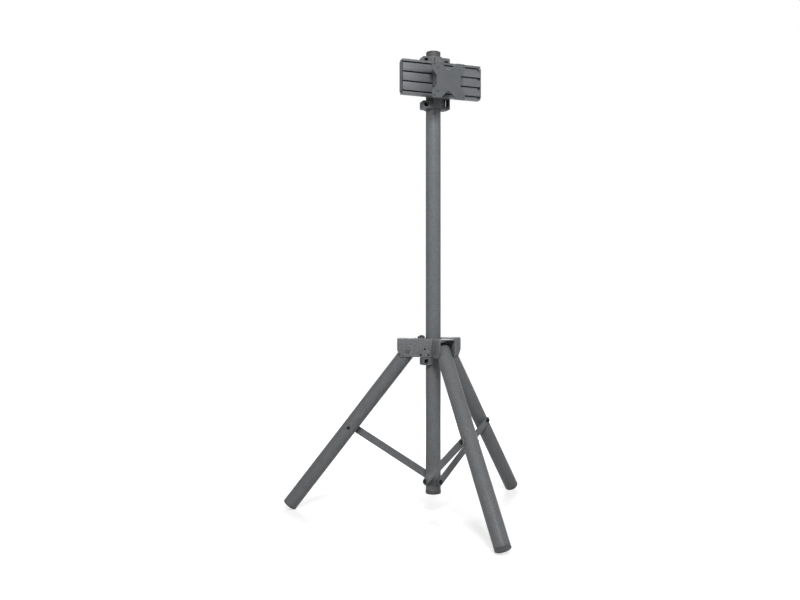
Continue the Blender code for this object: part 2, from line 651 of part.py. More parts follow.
def clamp_screws(hinged):
    return (-CLAMP_SCREW_REACH,) if hinged else (-CLAMP_SCREW_REACH, CLAMP_SCREW_REACH)


def make_clamp(name, frame, mirrored, hinged, ribbed):
    flip = Matrix.Scale(-1.0, 4, (0.0, 0.0, 1.0)) if mirrored else Matrix.Identity(4)
    saddle = clamp_half(name + "_saddle", True, hinged)
    strap = clamp_half(name + "_strap", False, hinged)
    if ribbed:
        rib_front = PANEL_FRONT - PANEL_DEPTH - BACK_PLATE_THICK - 2.0 * GAP
        join(saddle, box("rib", -0.5 * RIB_WIDTH, 0.5 * RIB_WIDTH, -rib_front, -RIB_ROOT,
                         RIB_START, RIB_HEIGHT))
    pieces = [saddle, strap]
    if hinged:
        pieces.append(make_clamp_hinge(name, saddle, strap))
    for half in (saddle, strap):
        bore_clamp(half, hinged)
    for x in clamp_screws(hinged):
        depth = LOBE_DEPTH_FRONT - COUNTERBORE_DEPTH
        cut(saddle, rod("counterbore", (x, 0.0, 0.5 * CLAMP_HEIGHT), (0.0, -1.0, 0.0), COUNTERBORE_RADIUS,
                        depth, 2.0 * LOBE_OUT))
        suffix = "_screw" if hinged else ("_screw_left" if x < 0.0 else "_screw_right")
        bolt = screw(name + suffix, SCREW_RADIUS, depth + GAP + LOBE_DEPTH_REAR,
                     SOCKET_HEAD_RADIUS, SOCKET_HEAD, CLAMP_SOCKET_RADIUS)
        bolt.data.transform(Matrix.Translation((x, -depth - GAP, 0.5 * CLAMP_HEIGHT)) @ laid(-1))
        pieces.append(bolt)
    for piece in pieces:
        piece.data.transform(flip)
        if mirrored:
            piece.data.flip_normals()
        metal = "screw" in piece.name or "pin" in piece.name
        place(piece, frame, DARK_STEEL if metal else HUB_COAT, 0.8 if metal else 0.0, 0.4)


def make_clamp_hinge(name, saddle, strap):
    """The window in the saddle's tall lobe, the strap's knuckle in it and the hinge pin."""
    x = CLAMP_SCREW_REACH
    y = -HINGE_PIN_FORWARD
    half = 0.5 * HINGE_WINDOW_WIDTH
    window = rounded(x - half, x + half, HINGE_WINDOW_START, HINGE_WINDOW_END, HINGE_WINDOW_ROUND)
    cut(saddle, slab("window", window, -2.0 * LOBE_OUT, 2.0 * LOBE_OUT, "y"))
    knuckle_half = 0.5 * HINGE_KNUCKLE_WIDTH
    knuckle_low = HINGE_KNUCKLE_START
    knuckle_high = knuckle_low + HINGE_KNUCKLE_HEIGHT
    round_half = HINGE_KNUCKLE_RADIUS
    outline = arc((x, y), round_half, 180.0, 360.0, 8)
    outline += [(x + round_half, LOBE_DEPTH_REAR), (x - round_half, LOBE_DEPTH_REAR)]
    arm = box("arm", x - knuckle_half, x + knuckle_half, 2.0 * CLAMP_SPLIT, LOBE_DEPTH_REAR,
              0.5 * CLAMP_HEIGHT, knuckle_high)
    knuckle = slab("knuckle", outline, knuckle_low, knuckle_high)
    up = (0.0, 0.0, 1.0)
    hole = HINGE_PIN_RADIUS + HOLE_PLAY
    far = 2.0 * HINGE_LOBE_HEIGHT
    cut(knuckle, rod("eye", (x, y, 0.0), up, hole, 0.0, far))
    join(strap, arm, knuckle)
    cut(saddle, rod("hole", (x, y, 0.0), up, hole, HINGE_HOLE_START, far))
    return rod(name + "_hinge_pin", (x, y, 0.0), up, HINGE_PIN_RADIUS,
               HINGE_HOLE_START + GAP, HINGE_LOBE_HEIGHT)


# Head

def slot_heights():
    """Each slot's height above the panel's middle, from the lowest up."""
    return [(index - 0.5 * (SLOT_COUNT - 1)) * SLOT_PITCH for index in range(SLOT_COUNT)]


def panel_section():
    """The extrusion's section in (y, z), with the T-slots in its front face, at the low y."""
    half = 0.5 * PANEL_DEPTH
    edge = PANEL_EDGE
    top = 0.5 * PANEL_HEIGHT
    mouth, wide = 0.5 * SLOT_OPENING, 0.5 * SLOT_WIDTH
    lip, floor = half - SLOT_LIP, half - SLOT_DEPTH
    points = [(half - edge, top), (half, top - edge), (half, edge - top), (half - edge, -top),
              (edge - half, -top), (-half, edge - top)]
    for z in slot_heights():
        points += [
            (-half, z - mouth), (-lip, z - mouth), (-lip, z - wide), (-floor, z - wide),
            (-floor, z + wide), (-lip, z + wide), (-lip, z + mouth), (-half, z + mouth),
        ]
    return points + [(-half, top - edge), (edge - half, top)]


def make_panel():
    frame = frame_at(z=PANEL_MIDDLE) @ Matrix.Translation((0.0, 0.5 * PANEL_DEPTH - PANEL_FRONT, 0.0))
    half = 0.5 * PANEL_LENGTH
    panel = slab("panel", panel_section(), -half, half, "x")
    face = -0.5 * PANEL_DEPTH
    for z in slot_heights():
        cut(panel, box("dip", half - END_DIP_START, half - END_DIP_END, 2.0 * face, face + SLOT_DEPTH,
                       z - END_DIP_HEIGHT, z))
    place(panel, frame, ANODISED, 0.6, 0.45)
    for side, way in (("left", -1.0), ("right", 1.0)):
        outline = rounded(-0.5 * PANEL_CAP_DEPTH, 0.5 * PANEL_CAP_DEPTH, -0.5 * PANEL_CAP_HEIGHT,
                          0.5 * PANEL_CAP_HEIGHT, PANEL_CAP_ROUND)
        near, far = sorted((way * (half + GAP), way * (half + GAP + PANEL_CAP)))
        place(slab("panel_cap_" + side, outline, near, far, "x"), frame, BLACK_PLASTIC, 0.0, 0.5)


def make_back_plate():
    face = PANEL_FRONT - PANEL_DEPTH - GAP
    half = 0.5 * BACK_PLATE_WIDTH
    tall = 0.5 * BACK_PLATE_HEIGHT
    plate = slab("back_plate", rounded(-half, half, -tall, tall, LOBE_ROUND),
                 -face, BACK_PLATE_THICK - face, "y")
    place(plate, frame_at(z=PANEL_MIDDLE), HUB_COAT, 0.0, 0.45)


# Plate carriage

def standoff_span():
    """The y of the standoff's rear and front faces."""
    return -PANEL_FRONT - GAP, PLATE_THICK + GAP - PLATE_FRONT


def slot_places():
    """(x, z) of the two slot screws, in the two middle slots, from the panel's middle."""
    for way in (-1.0, 1.0):
        yield way * SLOT_SCREW_SPREAD, way * 0.5 * SLOT_PITCH


def make_standoff():
    rear, front = standoff_span()
    half = 0.5 * STANDOFF_WIDTH
    tall = 0.5 * STANDOFF_HEIGHT
    body = slab("standoff", rounded(-half, half, front, rear, STANDOFF_ROUND), -tall, tall)
    inner = rounded(STANDOFF_WALL - half, half - STANDOFF_WALL, front + STANDOFF_WALL, rear - STANDOFF_WALL,
                    STANDOFF_ROUND - 0.5 * STANDOFF_WALL, 2)
    cut(body, slab("hollow", inner, -2.0 * tall, 2.0 * tall))
    for x, z in slot_places():
        cut(body, rod("hole", (x, 0.0, z), (0.0, -1.0, 0.0), SLOT_SCREW_RADIUS + HOLE_PLAY,
                      PANEL_FRONT - SLOT_DEPTH, PANEL_FRONT + 3.0 * STANDOFF_WALL, 12))
    place(body, frame_at(z=PANEL_MIDDLE), HUB_COAT, 0.0, 0.45)


def plate_outline():
    """The X-shaped outline in (x, z), drawn from its right-hand upper quarter."""
    half = 0.5 * PLATE_SIZE
    quarter = [
        (half - SIDE_NOTCH_DEPTH, SIDE_NOTCH_FLOOR), (half, SIDE_NOTCH_MOUTH), (half, half - PLATE_CORNER),
        (half - PLATE_CORNER, half), (END_NOTCH_MOUTH, half), (END_NOTCH_FLOOR, half - END_NOTCH_DEPTH),
    ]
    left = [(-x, z) for x, z in reversed(quarter)]
    return quarter + left + [(-x, -z) for x, z in quarter] + [(x, -z) for x, z in reversed(quarter)]


def make_vesa_plate():
    plate = slab("vesa_plate", plate_outline(), -PLATE_FRONT, PLATE_THICK - PLATE_FRONT, "y")
    for spacing in (VESA_WIDE, VESA_NARROW):
        for to_x in (-0.5, 0.5):
            for to_z in (-0.5, 0.5):
                centre = (to_x * spacing, 0.0, to_z * spacing)
                cut(plate, rod("hole", centre, (0.0, -1.0, 0.0), VESA_HOLE_RADIUS,
                               PLATE_FRONT - 3.0 * PLATE_THICK, PLATE_FRONT + 3.0 * PLATE_THICK, 12))
    place(plate, frame_at(z=PLATE_MIDDLE), HUB_COAT, 0.0, 0.45)


def make_slot_fixings():
    wall = standoff_span()[0] - STANDOFF_WALL - GAP
    for index, (x, z) in enumerate(slot_places()):
        side = "lower" if index == 0 else "upper"
        frame = frame_at(z=PANEL_MIDDLE) @ Matrix.Translation((x, 0.0, z))
        tip = PANEL_FRONT - SLOT_DEPTH + GAP
        fixing = screw("slot_screw_" + side, SLOT_SCREW_RADIUS, -wall - tip,
                       SLOT_HEAD_RADIUS, SLOT_HEAD, SLOT_SOCKET_RADIUS)
        place(fixing, frame @ Matrix.Translation((0.0, wall, 0.0)) @ laid(-1), DARK_STEEL, 0.8, 0.4)
        lip = PANEL_FRONT - SLOT_LIP - GAP
        half = 0.5 * SLOT_NUT_LENGTH
        wide = 0.5 * SLOT_WIDTH - GAP
        nut = slab("slot_nut_" + side, [(-half, -wide), (half, -wide), (half, wide), (-half, wide)],
                   -lip, -tip, "y")
        cut(nut, rod("thread", (0.0, 0.0, 0.0), (0.0, -1.0, 0.0), SLOT_SCREW_RADIUS + HOLE_PLAY,
                     0.5 * PANEL_FRONT, 2.0 * PANEL_FRONT, 12))
        place(nut, frame, DARK_STEEL, 0.8, 0.4)


def main():
    make_pole()
    make_top_plug()
    make_base_cap()
    for side, azimuth in LEGS.items():
        make_brace_bolt(side, azimuth)
        make_yoke(side, azimuth)
        make_guide(side, azimuth)
        make_pivot(side, azimuth)
        make_leg(side, azimuth)
        make_brace(side, azimuth)
    make_lock()
    make_clamp("collar", frame_at(z=COLLAR_BOTTOM), False, False, False)
    low = PANEL_MIDDLE - 0.5 * CLAMP_SPAN
    high = PANEL_MIDDLE + 0.5 * CLAMP_SPAN
    make_clamp("lower_clamp", frame_at(z=low), False, True, True)
    make_clamp("upper_clamp", frame_at(z=high), True, True, True)
    make_back_plate()
    make_panel()
    make_standoff()
    make_vesa_plate()
    make_slot_fixings()


main()
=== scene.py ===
# Display floor stand: a coated steel pole on three folding tube legs, with a clamped T-slot panel.
# Every piece is drawn at its real size, in metres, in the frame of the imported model.
# Yokes, legs and braces are drawn in their own leg's frame: x outward along the leg, y across it, z up.

import math

import bmesh
import bpy
from mathutils import Matrix, Vector


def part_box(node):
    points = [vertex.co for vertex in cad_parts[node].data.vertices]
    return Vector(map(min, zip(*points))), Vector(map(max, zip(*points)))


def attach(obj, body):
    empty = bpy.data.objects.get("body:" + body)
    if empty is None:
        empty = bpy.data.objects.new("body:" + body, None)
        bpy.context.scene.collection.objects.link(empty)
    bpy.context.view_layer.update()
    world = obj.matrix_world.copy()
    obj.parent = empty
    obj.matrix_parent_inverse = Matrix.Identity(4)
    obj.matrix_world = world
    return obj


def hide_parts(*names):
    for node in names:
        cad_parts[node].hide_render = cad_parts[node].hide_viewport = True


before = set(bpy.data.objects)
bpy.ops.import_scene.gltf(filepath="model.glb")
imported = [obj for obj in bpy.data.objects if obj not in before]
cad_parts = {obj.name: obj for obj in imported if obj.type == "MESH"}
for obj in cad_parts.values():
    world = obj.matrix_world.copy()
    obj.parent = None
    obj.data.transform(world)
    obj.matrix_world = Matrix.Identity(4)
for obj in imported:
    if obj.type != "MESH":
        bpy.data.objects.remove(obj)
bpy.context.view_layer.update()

MM = 0.001
ALONG_Z = (0.0, 0.0, 1.0)
ALONG_Y = (0.0, 1.0, 0.0)
AGAINST_Y = (0.0, -1.0, 0.0)

# Sizes that the pieces share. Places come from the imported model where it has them.
GAP = 0.3 * MM
PLAY = 0.3 * MM
POLE_Y = 0.5 * (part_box("pole_tube")[0].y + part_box("pole_tube")[1].y)
POLE_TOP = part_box("pole_tube")[1].z
POLE_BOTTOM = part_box("pole_tube")[0].z
TUBE_RADIUS = 25.0 * MM
TUBE_BORE = 22.5 * MM
SPIGOT_RADIUS = TUBE_BORE - GAP
ROUND_SIDES = 96

HUB_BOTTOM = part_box("hub_yoke_front")[0].z
HUB_HEIGHT = 62.5 * MM
SHEET = 4.0 * MM
CHEEK = 25.5 * MM
CHEEK_OUT = CHEEK + SHEET
CHEEK_REACH = 117.6 * MM
SHORT_CHEEK_START = 60.0 * MM
BEND_RADIUS = 6.0 * MM
LOCK_HEIGHT = 51.5 * MM
LOCK_BORE = 5.3 * MM
RIVET_RADIUS = 2.5 * MM
RIVET_PLACES = ((24.5 * MM, 26.4 * MM), (38.0 * MM, 7.4 * MM), (12.5 * MM, 7.4 * MM))

LEG_ANGLE = math.radians(37.8)
PIVOT_REACH = 82.0 * MM
PIVOT_HEIGHT = 20.5 * MM
PIVOT_RADIUS = 5.0 * MM
PIVOT_Z = HUB_BOTTOM + PIVOT_HEIGHT
LEG_LENGTH = (PIVOT_Z - TUBE_RADIUS * math.sin(LEG_ANGLE)) / math.cos(LEG_ANGLE)
LEG_STUB = 12.0 * MM
PIN_ALONG_LEG = 330.0 * MM
PIN_RADIUS = 4.0 * MM

BRACE_WIDTH = 25.0 * MM
BRACE_THICK = 5.0 * MM
BRACE_FOOT_HEIGHT = 112.0 * MM
BRACE_FACE = TUBE_RADIUS + GAP
PIN_REACH = PIVOT_REACH + PIN_ALONG_LEG * math.sin(LEG_ANGLE)
PIN_Z = PIVOT_Z - PIN_ALONG_LEG * math.cos(LEG_ANGLE)
BRACE_LENGTH = math.hypot(PIN_REACH, PIN_Z - BRACE_FOOT_HEIGHT)
BRACE_ANGLE = math.atan2(PIN_REACH, PIN_Z - BRACE_FOOT_HEIGHT)
SCREW_RADIUS = 4.0 * MM
BRACE_HEAD_RADIUS = 7.5 * MM
BRACE_HEAD = 5.0 * MM
BRACE_KEY = 5.0 * MM

CLAMP_HEIGHT = 25.0 * MM
LOBE_IN = 15.0 * MM
LOBE_OUT = 49.0 * MM
STRAP_OUT = 44.5 * MM
LOBE_DEPTH_FRONT = 27.0 * MM
LOBE_DEPTH_REAR = 10.0 * MM
LOBE_ROUND = 4.0 * MM
CLAMP_SCREW_REACH = 36.0 * MM
COUNTERBORE_RADIUS = 7.8 * MM
COUNTERBORE_DEPTH = 14.0 * MM
CLAMP_SCREW_HEAD_RADIUS = 6.3 * MM
CLAMP_SCREW_HEAD = 7.0 * MM
CLAMP_SCREW_KEY = 6.0 * MM
HINGE_PIN_FORWARD = 9.0 * MM
HINGE_PIN_RADIUS = 4.0 * MM
COLLAR_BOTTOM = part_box("collar_saddle")[0].z

PANEL_MIDDLE = POLE_TOP - 91.0 * MM
PANEL_HEIGHT = 112.0 * MM
PANEL_LENGTH = 276.0 * MM
PANEL_DEPTH = 25.0 * MM
PANEL_FRONT = 75.0 * MM
SLOT_PITCH = 31.0 * MM
SLOT_HEIGHTS = [(index - 1.5) * SLOT_PITCH for index in range(4)]
SLOT_DEPTH = 9.0 * MM
SLOT_LIP = 2.5 * MM
CLAMP_SPAN = 171.0 * MM
BACK_PLATE_THICK = 5.0 * MM

PLATE_MIDDLE = PANEL_MIDDLE - 15.5 * MM
PLATE_SIZE = 115.0 * MM
PLATE_THICK = 4.0 * MM
PLATE_FRONT = 125.0 * MM
VESA_HALF_PITCHES = (50.0 * MM, 37.5 * MM)
VESA_HOLE = 2.5 * MM
STANDOFF_WALL = 4.0 * MM
STANDOFF_HALF_WIDTH = 36.0 * MM
STANDOFF_HALF_HEIGHT = 25.0 * MM
SLOT_SCREW_SHIFT = 20.0 * MM
SLOT_SCREW_RADIUS = 2.0 * MM
SLOT_SCREW_HOLE = SLOT_SCREW_RADIUS + PLAY
SLOT_SCREW_HEAD_RADIUS = 4.5 * MM
SLOT_SCREW_HEAD = 4.0 * MM
SLOT_SCREW_KEY = 3.0 * MM

LEGS = {"front": math.radians(270.0), "right": math.radians(30.0), "left": math.radians(150.0)}


# Finishes

def from_hex(code):
    """An sRGB colour such as "6c6e70" as the linear colour that Blender's nodes take."""
    channels = []
    for start in (0, 2, 4):
        value = int(code[start:start + 2], 16) / 255.0
        channels.append(value / 12.92 if value <= 0.04045 else ((value + 0.055) / 1.055) ** 2.4)
    return (*channels, 1.0)


def add(tree, kind, settings=None, links=None):
    """Add a node, set its sockets and properties, and link its inputs to (node, output) pairs."""
    node = tree.nodes.new(kind)
    for key, value in (settings or {}).items():
        if isinstance(key, int) or key in node.inputs:
            node.inputs[key].default_value = value
        else:
            setattr(node, key, value)
    for key, (source, output) in (links or {}).items():
        tree.links.new(source.outputs[output], node.inputs[key])
    return node


def start_finish(name, roughness, metallic=0.0, specular=0.5):
    """A new material with its plain numbers on the shader's own sockets. Metal keeps its own IOR."""
    material = bpy.data.materials.new(name)
    material.use_nodes = True
    tree = material.node_tree
    surface = tree.nodes["Principled BSDF"]
    surface.inputs["Roughness"].default_value = roughness
    surface.inputs["Metallic"].default_value = metallic
    if metallic == 0.0:
        surface.inputs["Specular IOR Level"].default_value = specular
    return material, tree, surface


def powder_coat(name, plain, deep, grain, speckle, tooth, roughness):
    """Polyester powder baked on metal: an even dark grey skin with a fine sandy tooth.

    The real grain is about 0.4 mm and too fine to show, so it is drawn coarser, as grain says.
    The broad mottle is where the powder lies a little thicker, and it shifts the sheen.
    """
    material, tree, surface = start_finish(name, roughness, 0.0, 0.10)
    place = add(tree, "ShaderNodeTexCoord")
    grit = add(tree, "ShaderNodeTexNoise", {"Scale": 1.0 / grain, "Detail": 4.0, "Roughness": 0.65},
               {"Vector": (place, "Object")})
    mottle = add(tree, "ShaderNodeTexNoise", {"Scale": 1.0 / (38.0 * MM), "Detail": 2.0},
                 {"Vector": (place, "Object")})
    broad = add(tree, "ShaderNodeMix", {"data_type": "RGBA", 6: from_hex(plain), 7: from_hex(deep)},
                {0: (mottle, 0)})
    specks = add(tree, "ShaderNodeMapRange",
                 {"From Min": 0.36, "From Max": 0.64, "To Min": 1.0 - speckle, "To Max": 1.0 + 0.8 * speckle},
                 {"Value": (grit, 0)})
    tinted = add(tree, "ShaderNodeMix", {"data_type": "RGBA", "blend_type": "MULTIPLY", 0: 1.0},
                 {6: (broad, 2), 7: (specks, 0)})
    sheen = add(tree, "ShaderNodeMapRange",
                {"From Min": 0.3, "From Max": 0.7, "To Min": roughness - 0.05, "To Max": roughness + 0.07},
                {"Value": (mottle, 0)})
    relief = add(tree, "ShaderNodeBump", {"Strength": tooth, "Distance": 0.25 * MM}, {"Height": (grit, 0)})
    tree.links.new(tinted.outputs[2], surface.inputs["Base Color"])
    tree.links.new(sheen.outputs[0], surface.inputs["Roughness"])
    tree.links.new(relief.outputs[0], surface.inputs["Normal"])
    return material


def anodised_extrusion(name, plain, deep):
    """Extruded and anodised aluminium: metal under a dark film, with die lines along its length.

    Real die lines lie well under a millimetre apart and are too fine to show, so they are drawn coarser.
    """
    material, tree, surface = start_finish(name, 0.45, 0.30)
    place = add(tree, "ShaderNodeTexCoord")
    stretch = add(tree, "ShaderNodeMapping", {"Scale": (0.01, 1.0, 1.0)}, {"Vector": (place, "Object")})
    lines = add(tree, "ShaderNodeTexNoise", {"Scale": 1.0 / (1.6 * MM), "Detail": 3.0, "Roughness": 0.7},
                {"Vector": (stretch, 0)})
    cloud = add(tree, "ShaderNodeTexNoise", {"Scale": 1.0 / (50.0 * MM), "Detail": 2.0},
                {"Vector": (place, "Object")})
    blend = add(tree, "ShaderNodeMath", {"operation": "MULTIPLY"}, {0: (lines, 0), 1: (cloud, 0)})
    spread = add(tree, "ShaderNodeMapRange", {"From Min": 0.12, "From Max": 0.40}, {"Value": (blend, 0)})
    tint = add(tree, "ShaderNodeMix", {"data_type": "RGBA", 6: from_hex(deep), 7: from_hex(plain)},
               {0: (spread, 0)})
    sheen = add(tree, "ShaderNodeMapRange",
                {"From Min": 0.3, "From Max": 0.7, "To Min": 0.36, "To Max": 0.50}, {"Value": (lines, 0)})
    relief = add(tree, "ShaderNodeBump", {"Strength": 0.25, "Distance": 0.1 * MM}, {"Height": (lines, 0)})
    tree.links.new(tint.outputs[2], surface.inputs["Base Color"])
    tree.links.new(sheen.outputs[0], surface.inputs["Roughness"])
    tree.links.new(relief.outputs[0], surface.inputs["Normal"])
    return material


def moulded_nylon(name, plain, pale, grain, roughness):
    """Nylon or a like plastic from a spark-eroded mould: near black, dull, with an even pebbled skin.

    Real pebbles are well under a millimetre and too fine to show, so they are drawn coarser, as grain says.
    """
    material, tree, surface = start_finish(name, roughness, 0.0, 0.45)
    place = add(tree, "ShaderNodeTexCoord")
    pebbles = add(tree, "ShaderNodeTexVoronoi", {"Scale": 1.0 / grain, "Randomness": 1.0},
                  {"Vector": (place, "Object")})
    flow = add(tree, "ShaderNodeTexNoise", {"Scale": 1.0 / (14.0 * MM), "Detail": 3.0},
               {"Vector": (place, "Object")})
    tint = add(tree, "ShaderNodeMix", {"data_type": "RGBA", 6: from_hex(plain), 7: from_hex(pale)},
               {0: (flow, 0)})
    relief = add(tree, "ShaderNodeBump", {"Strength": 0.30, "Distance": 0.12 * MM}, {"Height": (pebbles, 0)})
    tree.links.new(tint.outputs[2], surface.inputs["Base Color"])
    tree.links.new(relief.outputs[0], surface.inputs["Normal"])
    return material


def black_oxide(name, plain, worn):
    """Steel blackened in a hot salt bath: a dark metal with an oily, slightly uneven sheen."""
    material, tree, surface = start_finish(name, 0.38, 1.0)
    place = add(tree, "ShaderNodeTexCoord")
    cloud = add(tree, "ShaderNodeTexNoise", {"Scale": 1.0 / (5.0 * MM), "Detail": 4.0},
                {"Vector": (place, "Object")})
    tint = add(tree, "ShaderNodeMix", {"data_type": "RGBA", 6: from_hex(plain), 7: from_hex(worn)},
               {0: (cloud, 0)})
    sheen = add(tree, "ShaderNodeMapRange",
                {"From Min": 0.3, "From Max": 0.7, "To Min": 0.30, "To Max": 0.48}, {"Value": (cloud, 0)})
    tree.links.new(tint.outputs[2], surface.inputs["Base Color"])
    tree.links.new(sheen.outputs[0], surface.inputs["Roughness"])
    return material


TUBE_COAT = powder_coat("powder_coated_steel_tube", "6c6e70", "626466", 3.4 * MM, 0.20, 0.18, 0.34)
SHEET_COAT = powder_coat("powder_coated_bent_sheet", "727476", "686a6c", 3.2 * MM, 0.40, 0.25, 0.40)
CAST_COAT = powder_coat("powder_coated_cast_aluminium", "6a6c6e", "5a5c5e", 3.6 * MM, 0.34, 0.40, 0.42)
PLATE_COAT = powder_coat("powder_coated_flat_plate", "5c5e60", "545658", 3.2 * MM, 0.18, 0.20, 0.42)
ANODISED = anodised_extrusion("anodised_extruded_aluminium", "5a5c5f", "4a4c4f")
# The same finish drawn darker: painted shade for the deep slots, which look nearly black in the photograph.
PAINTED_SLOT_SHADE = anodised_extrusion("anodised_with_painted_slot_shade", "26272a", "1c1d1f")
NYLON = moulded_nylon("moulded_black_nylon", "323335", "3c3d3f", 2.6 * MM, 0.50)
FOOT_PLASTIC = moulded_nylon("moulded_foot_plastic", "3a3b3d", "444547", 2.8 * MM, 0.55)
GUIDE_PLASTIC = moulded_nylon("moulded_acetal_guide", "28292b", "303133", 2.6 * MM, 0.50)
BLACKENED = black_oxide("black_oxide_steel", "1d1e1f", "2c2d2e")
# Phosphating leaves steel paler and greyer than blackening does.
PHOSPHATED = black_oxide("phosphated_steel_pin", "4c4d4f", "606163")


# Shaping

def place_at(azimuth=0.0, reach=0.0, z=0.0, lean=0.0):
    """A frame on the pole's axis: turned to azimuth, moved out by reach, then leaned about its y."""
    return (
        Matrix.Translation((0.0, POLE_Y, 0.0))
        @ Matrix.Rotation(azimuth, 4, "Z")
        @ Matrix.Translation((reach, 0.0, z))
        @ Matrix.Rotation(lean, 4, "Y")
    )


def laid(way):
    """A turn that lays a piece drawn along z along +y or -y."""
    return Matrix.Rotation(-way * math.pi / 2.0, 4, "X")


def moved(x, y, z):
    """A plain shift."""
    return Matrix.Translation((x, y, z))


def as_piece(name, shape):
    """Turn a bmesh into an object of the scene, with its faces looking outwards."""
    bmesh.ops.recalc_face_normals(shape, faces=shape.faces)
    mesh = bpy.data.meshes.new(name)
    shape.to_mesh(mesh)
    shape.free()
    piece = bpy.data.objects.new(name, mesh)
    bpy.context.scene.collection.objects.link(piece)
    return piece


def turn_piece(name, profile, sides=ROUND_SIDES, flute=None):
    """Turn a closed (radius, z) outline round z. flute(index, angle) is how much deeper a point lies."""
    shape = bmesh.new()
    rings = []
    for index, (radius, z) in enumerate(profile):
        if radius < 1e-9:
            rings.append([shape.verts.new((0.0, 0.0, z))])
            continue
        ring = []
        for side in range(sides):
            turn = 2.0 * math.pi * side / sides
            reach = radius - (flute(index, turn) if flute else 0.0)
            ring.append(shape.verts.new((reach * math.cos(turn), reach * math.sin(turn), z)))
        rings.append(ring)
    for index, ring in enumerate(rings):
        other = rings[(index + 1) % len(rings)]
        if len(ring) == 1 and len(other) == 1:
            continue
        for side in range(sides):
            after = (side + 1) % sides
            if len(ring) == 1:
                shape.faces.new((ring[0], other[after], other[side]))
            elif len(other) == 1:
                shape.faces.new((ring[side], ring[after], other[0]))
            else:
                shape.faces.new((ring[side], ring[after], other[after], other[side]))
    return as_piece(name, shape)


def draw_out(name, outline, start, end, along="z"):
    """Pull a flat outline from start to end. It is (x, y) along z, (x, z) along y, (y, z) along x."""
    orders = {
        "z": lambda a, b, c: (a, b, c),
        "y": lambda a, b, c: (a, c, b),
        "x": lambda a, b, c: (c, a, b),
    }
    shape = bmesh.new()
    near = [shape.verts.new(orders[along](a, b, start)) for a, b in outline]
    far = [shape.verts.new(orders[along](a, b, end)) for a, b in outline]
    shape.faces.new(near)
    shape.faces.new(far)
    for index in range(len(outline)):
        after = (index + 1) % len(outline)
        shape.faces.new((near[index], near[after], far[after], far[index]))
    return as_piece(name, shape)


def block(name, x0, x1, y0, y1, z0, z1):
    """A plain box between two corners."""
    return draw_out(name, [(x0, y0), (x1, y0), (x1, y1), (x0, y1)], z0, z1)


def arc(centre, radius, start, end, steps, rise=None):
    """Points from start to end degrees on a circle, or on an ellipse that is rise high."""
    high = radius if rise is None else rise
    points = []
    for step in range(steps + 1):
        turn = math.radians(start + (end - start) * step / steps)
        points.append((centre[0] + radius * math.cos(turn), centre[1] + high * math.sin(turn)))
    return points


def round_box(x0, x1, y0, y1, radius, steps=8):
    """A rectangle with round corners."""
    corners = ((x1, y0, -90.0, -1, 1), (x1, y1, 0.0, -1, -1), (x0, y1, 90.0, 1, -1), (x0, y0, 180.0, 1, 1))
    points = []
    for x, y, turn, to_x, to_y in corners:
        points += arc((x + to_x * radius, y + to_y * radius), radius, turn, turn + 90.0, steps)
    return points


def eased(points, radius, steps=4):
    """A flat outline with each corner rounded to radius, or less where its sides are short."""
    made = []
    count = len(points)
    for index in range(count):
        here = Vector(points[index])
        back = Vector(points[index - 1]) - here
        on = Vector(points[(index + 1) % count]) - here
        angle = back.angle(on)
        if angle > math.radians(175.0):
            made.append(tuple(here))
            continue
        reach = min(radius / math.tan(0.5 * angle), 0.45 * back.length, 0.45 * on.length)
        start, end = here + back.normalized() * reach, here + on.normalized() * reach
        for step in range(steps + 1):
            share = step / steps
            point = (1 - share) ** 2 * start + 2 * share * (1 - share) * here + share ** 2 * end
            made.append(tuple(point))
    return made


def rod(centre, direction, radius, start, end, sides=48):
    """A plain round bar, used to bore holes and for plain pins."""
    bar = turn_piece("bar", [(0.0, start), (radius, start), (radius, end), (0.0, end)], sides)
    turn = Vector((0.0, 0.0, 1.0)).rotation_difference(Vector(direction)).to_matrix().to_4x4()
    bar.data.transform(Matrix.Translation(Vector(centre)) @ turn)
    return bar


def settle(piece):
    """Make what the modifiers show the piece's own mesh."""
    bpy.context.view_layer.update()
    graph = bpy.context.evaluated_depsgraph_get()
    mesh = bpy.data.meshes.new_from_object(piece.evaluated_get(graph))
    piece.modifiers.clear()
    old = piece.data
    piece.data = mesh
    bpy.data.meshes.remove(old)


def combine(piece, others, operation):
    for other in others:
        step = piece.modifiers.new("step", "BOOLEAN")
        step.operation = operation
        step.solver = "EXACT"
        step.object = other
        settle(piece)
        bpy.data.objects.remove(other, do_unlink=True)
    return piece


def cut(piece, *others):
    return combine(piece, others, "DIFFERENCE")


def join(piece, *others):
    return combine(piece, others, "UNION")


def ease_edges(piece, width, segments=3):
    """Round every sharp edge by width, as tumbling or a moulder's radius leaves it."""
    bevel = piece.modifiers.new("ease", "BEVEL")
    bevel.width = width
    bevel.segments = segments
    bevel.limit_method = "ANGLE"
    bevel.angle_limit = math.radians(40.0)
    bevel.miter_outer = "MITER_ARC"
    settle(piece)
    return piece


def finish_piece(piece, where, body, finish, slot, *nodes):
    """Put a piece in place on its body, give it its finish and let it stand for the named nodes."""
    piece.matrix_world = where
    piece.data.shade_smooth()
    piece.data.set_sharp_from_angle(angle=math.radians(32.0))
    piece.data.materials.clear()
    piece.data.materials.append(finish)
    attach(piece, body)
    if nodes:
        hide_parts(*nodes)


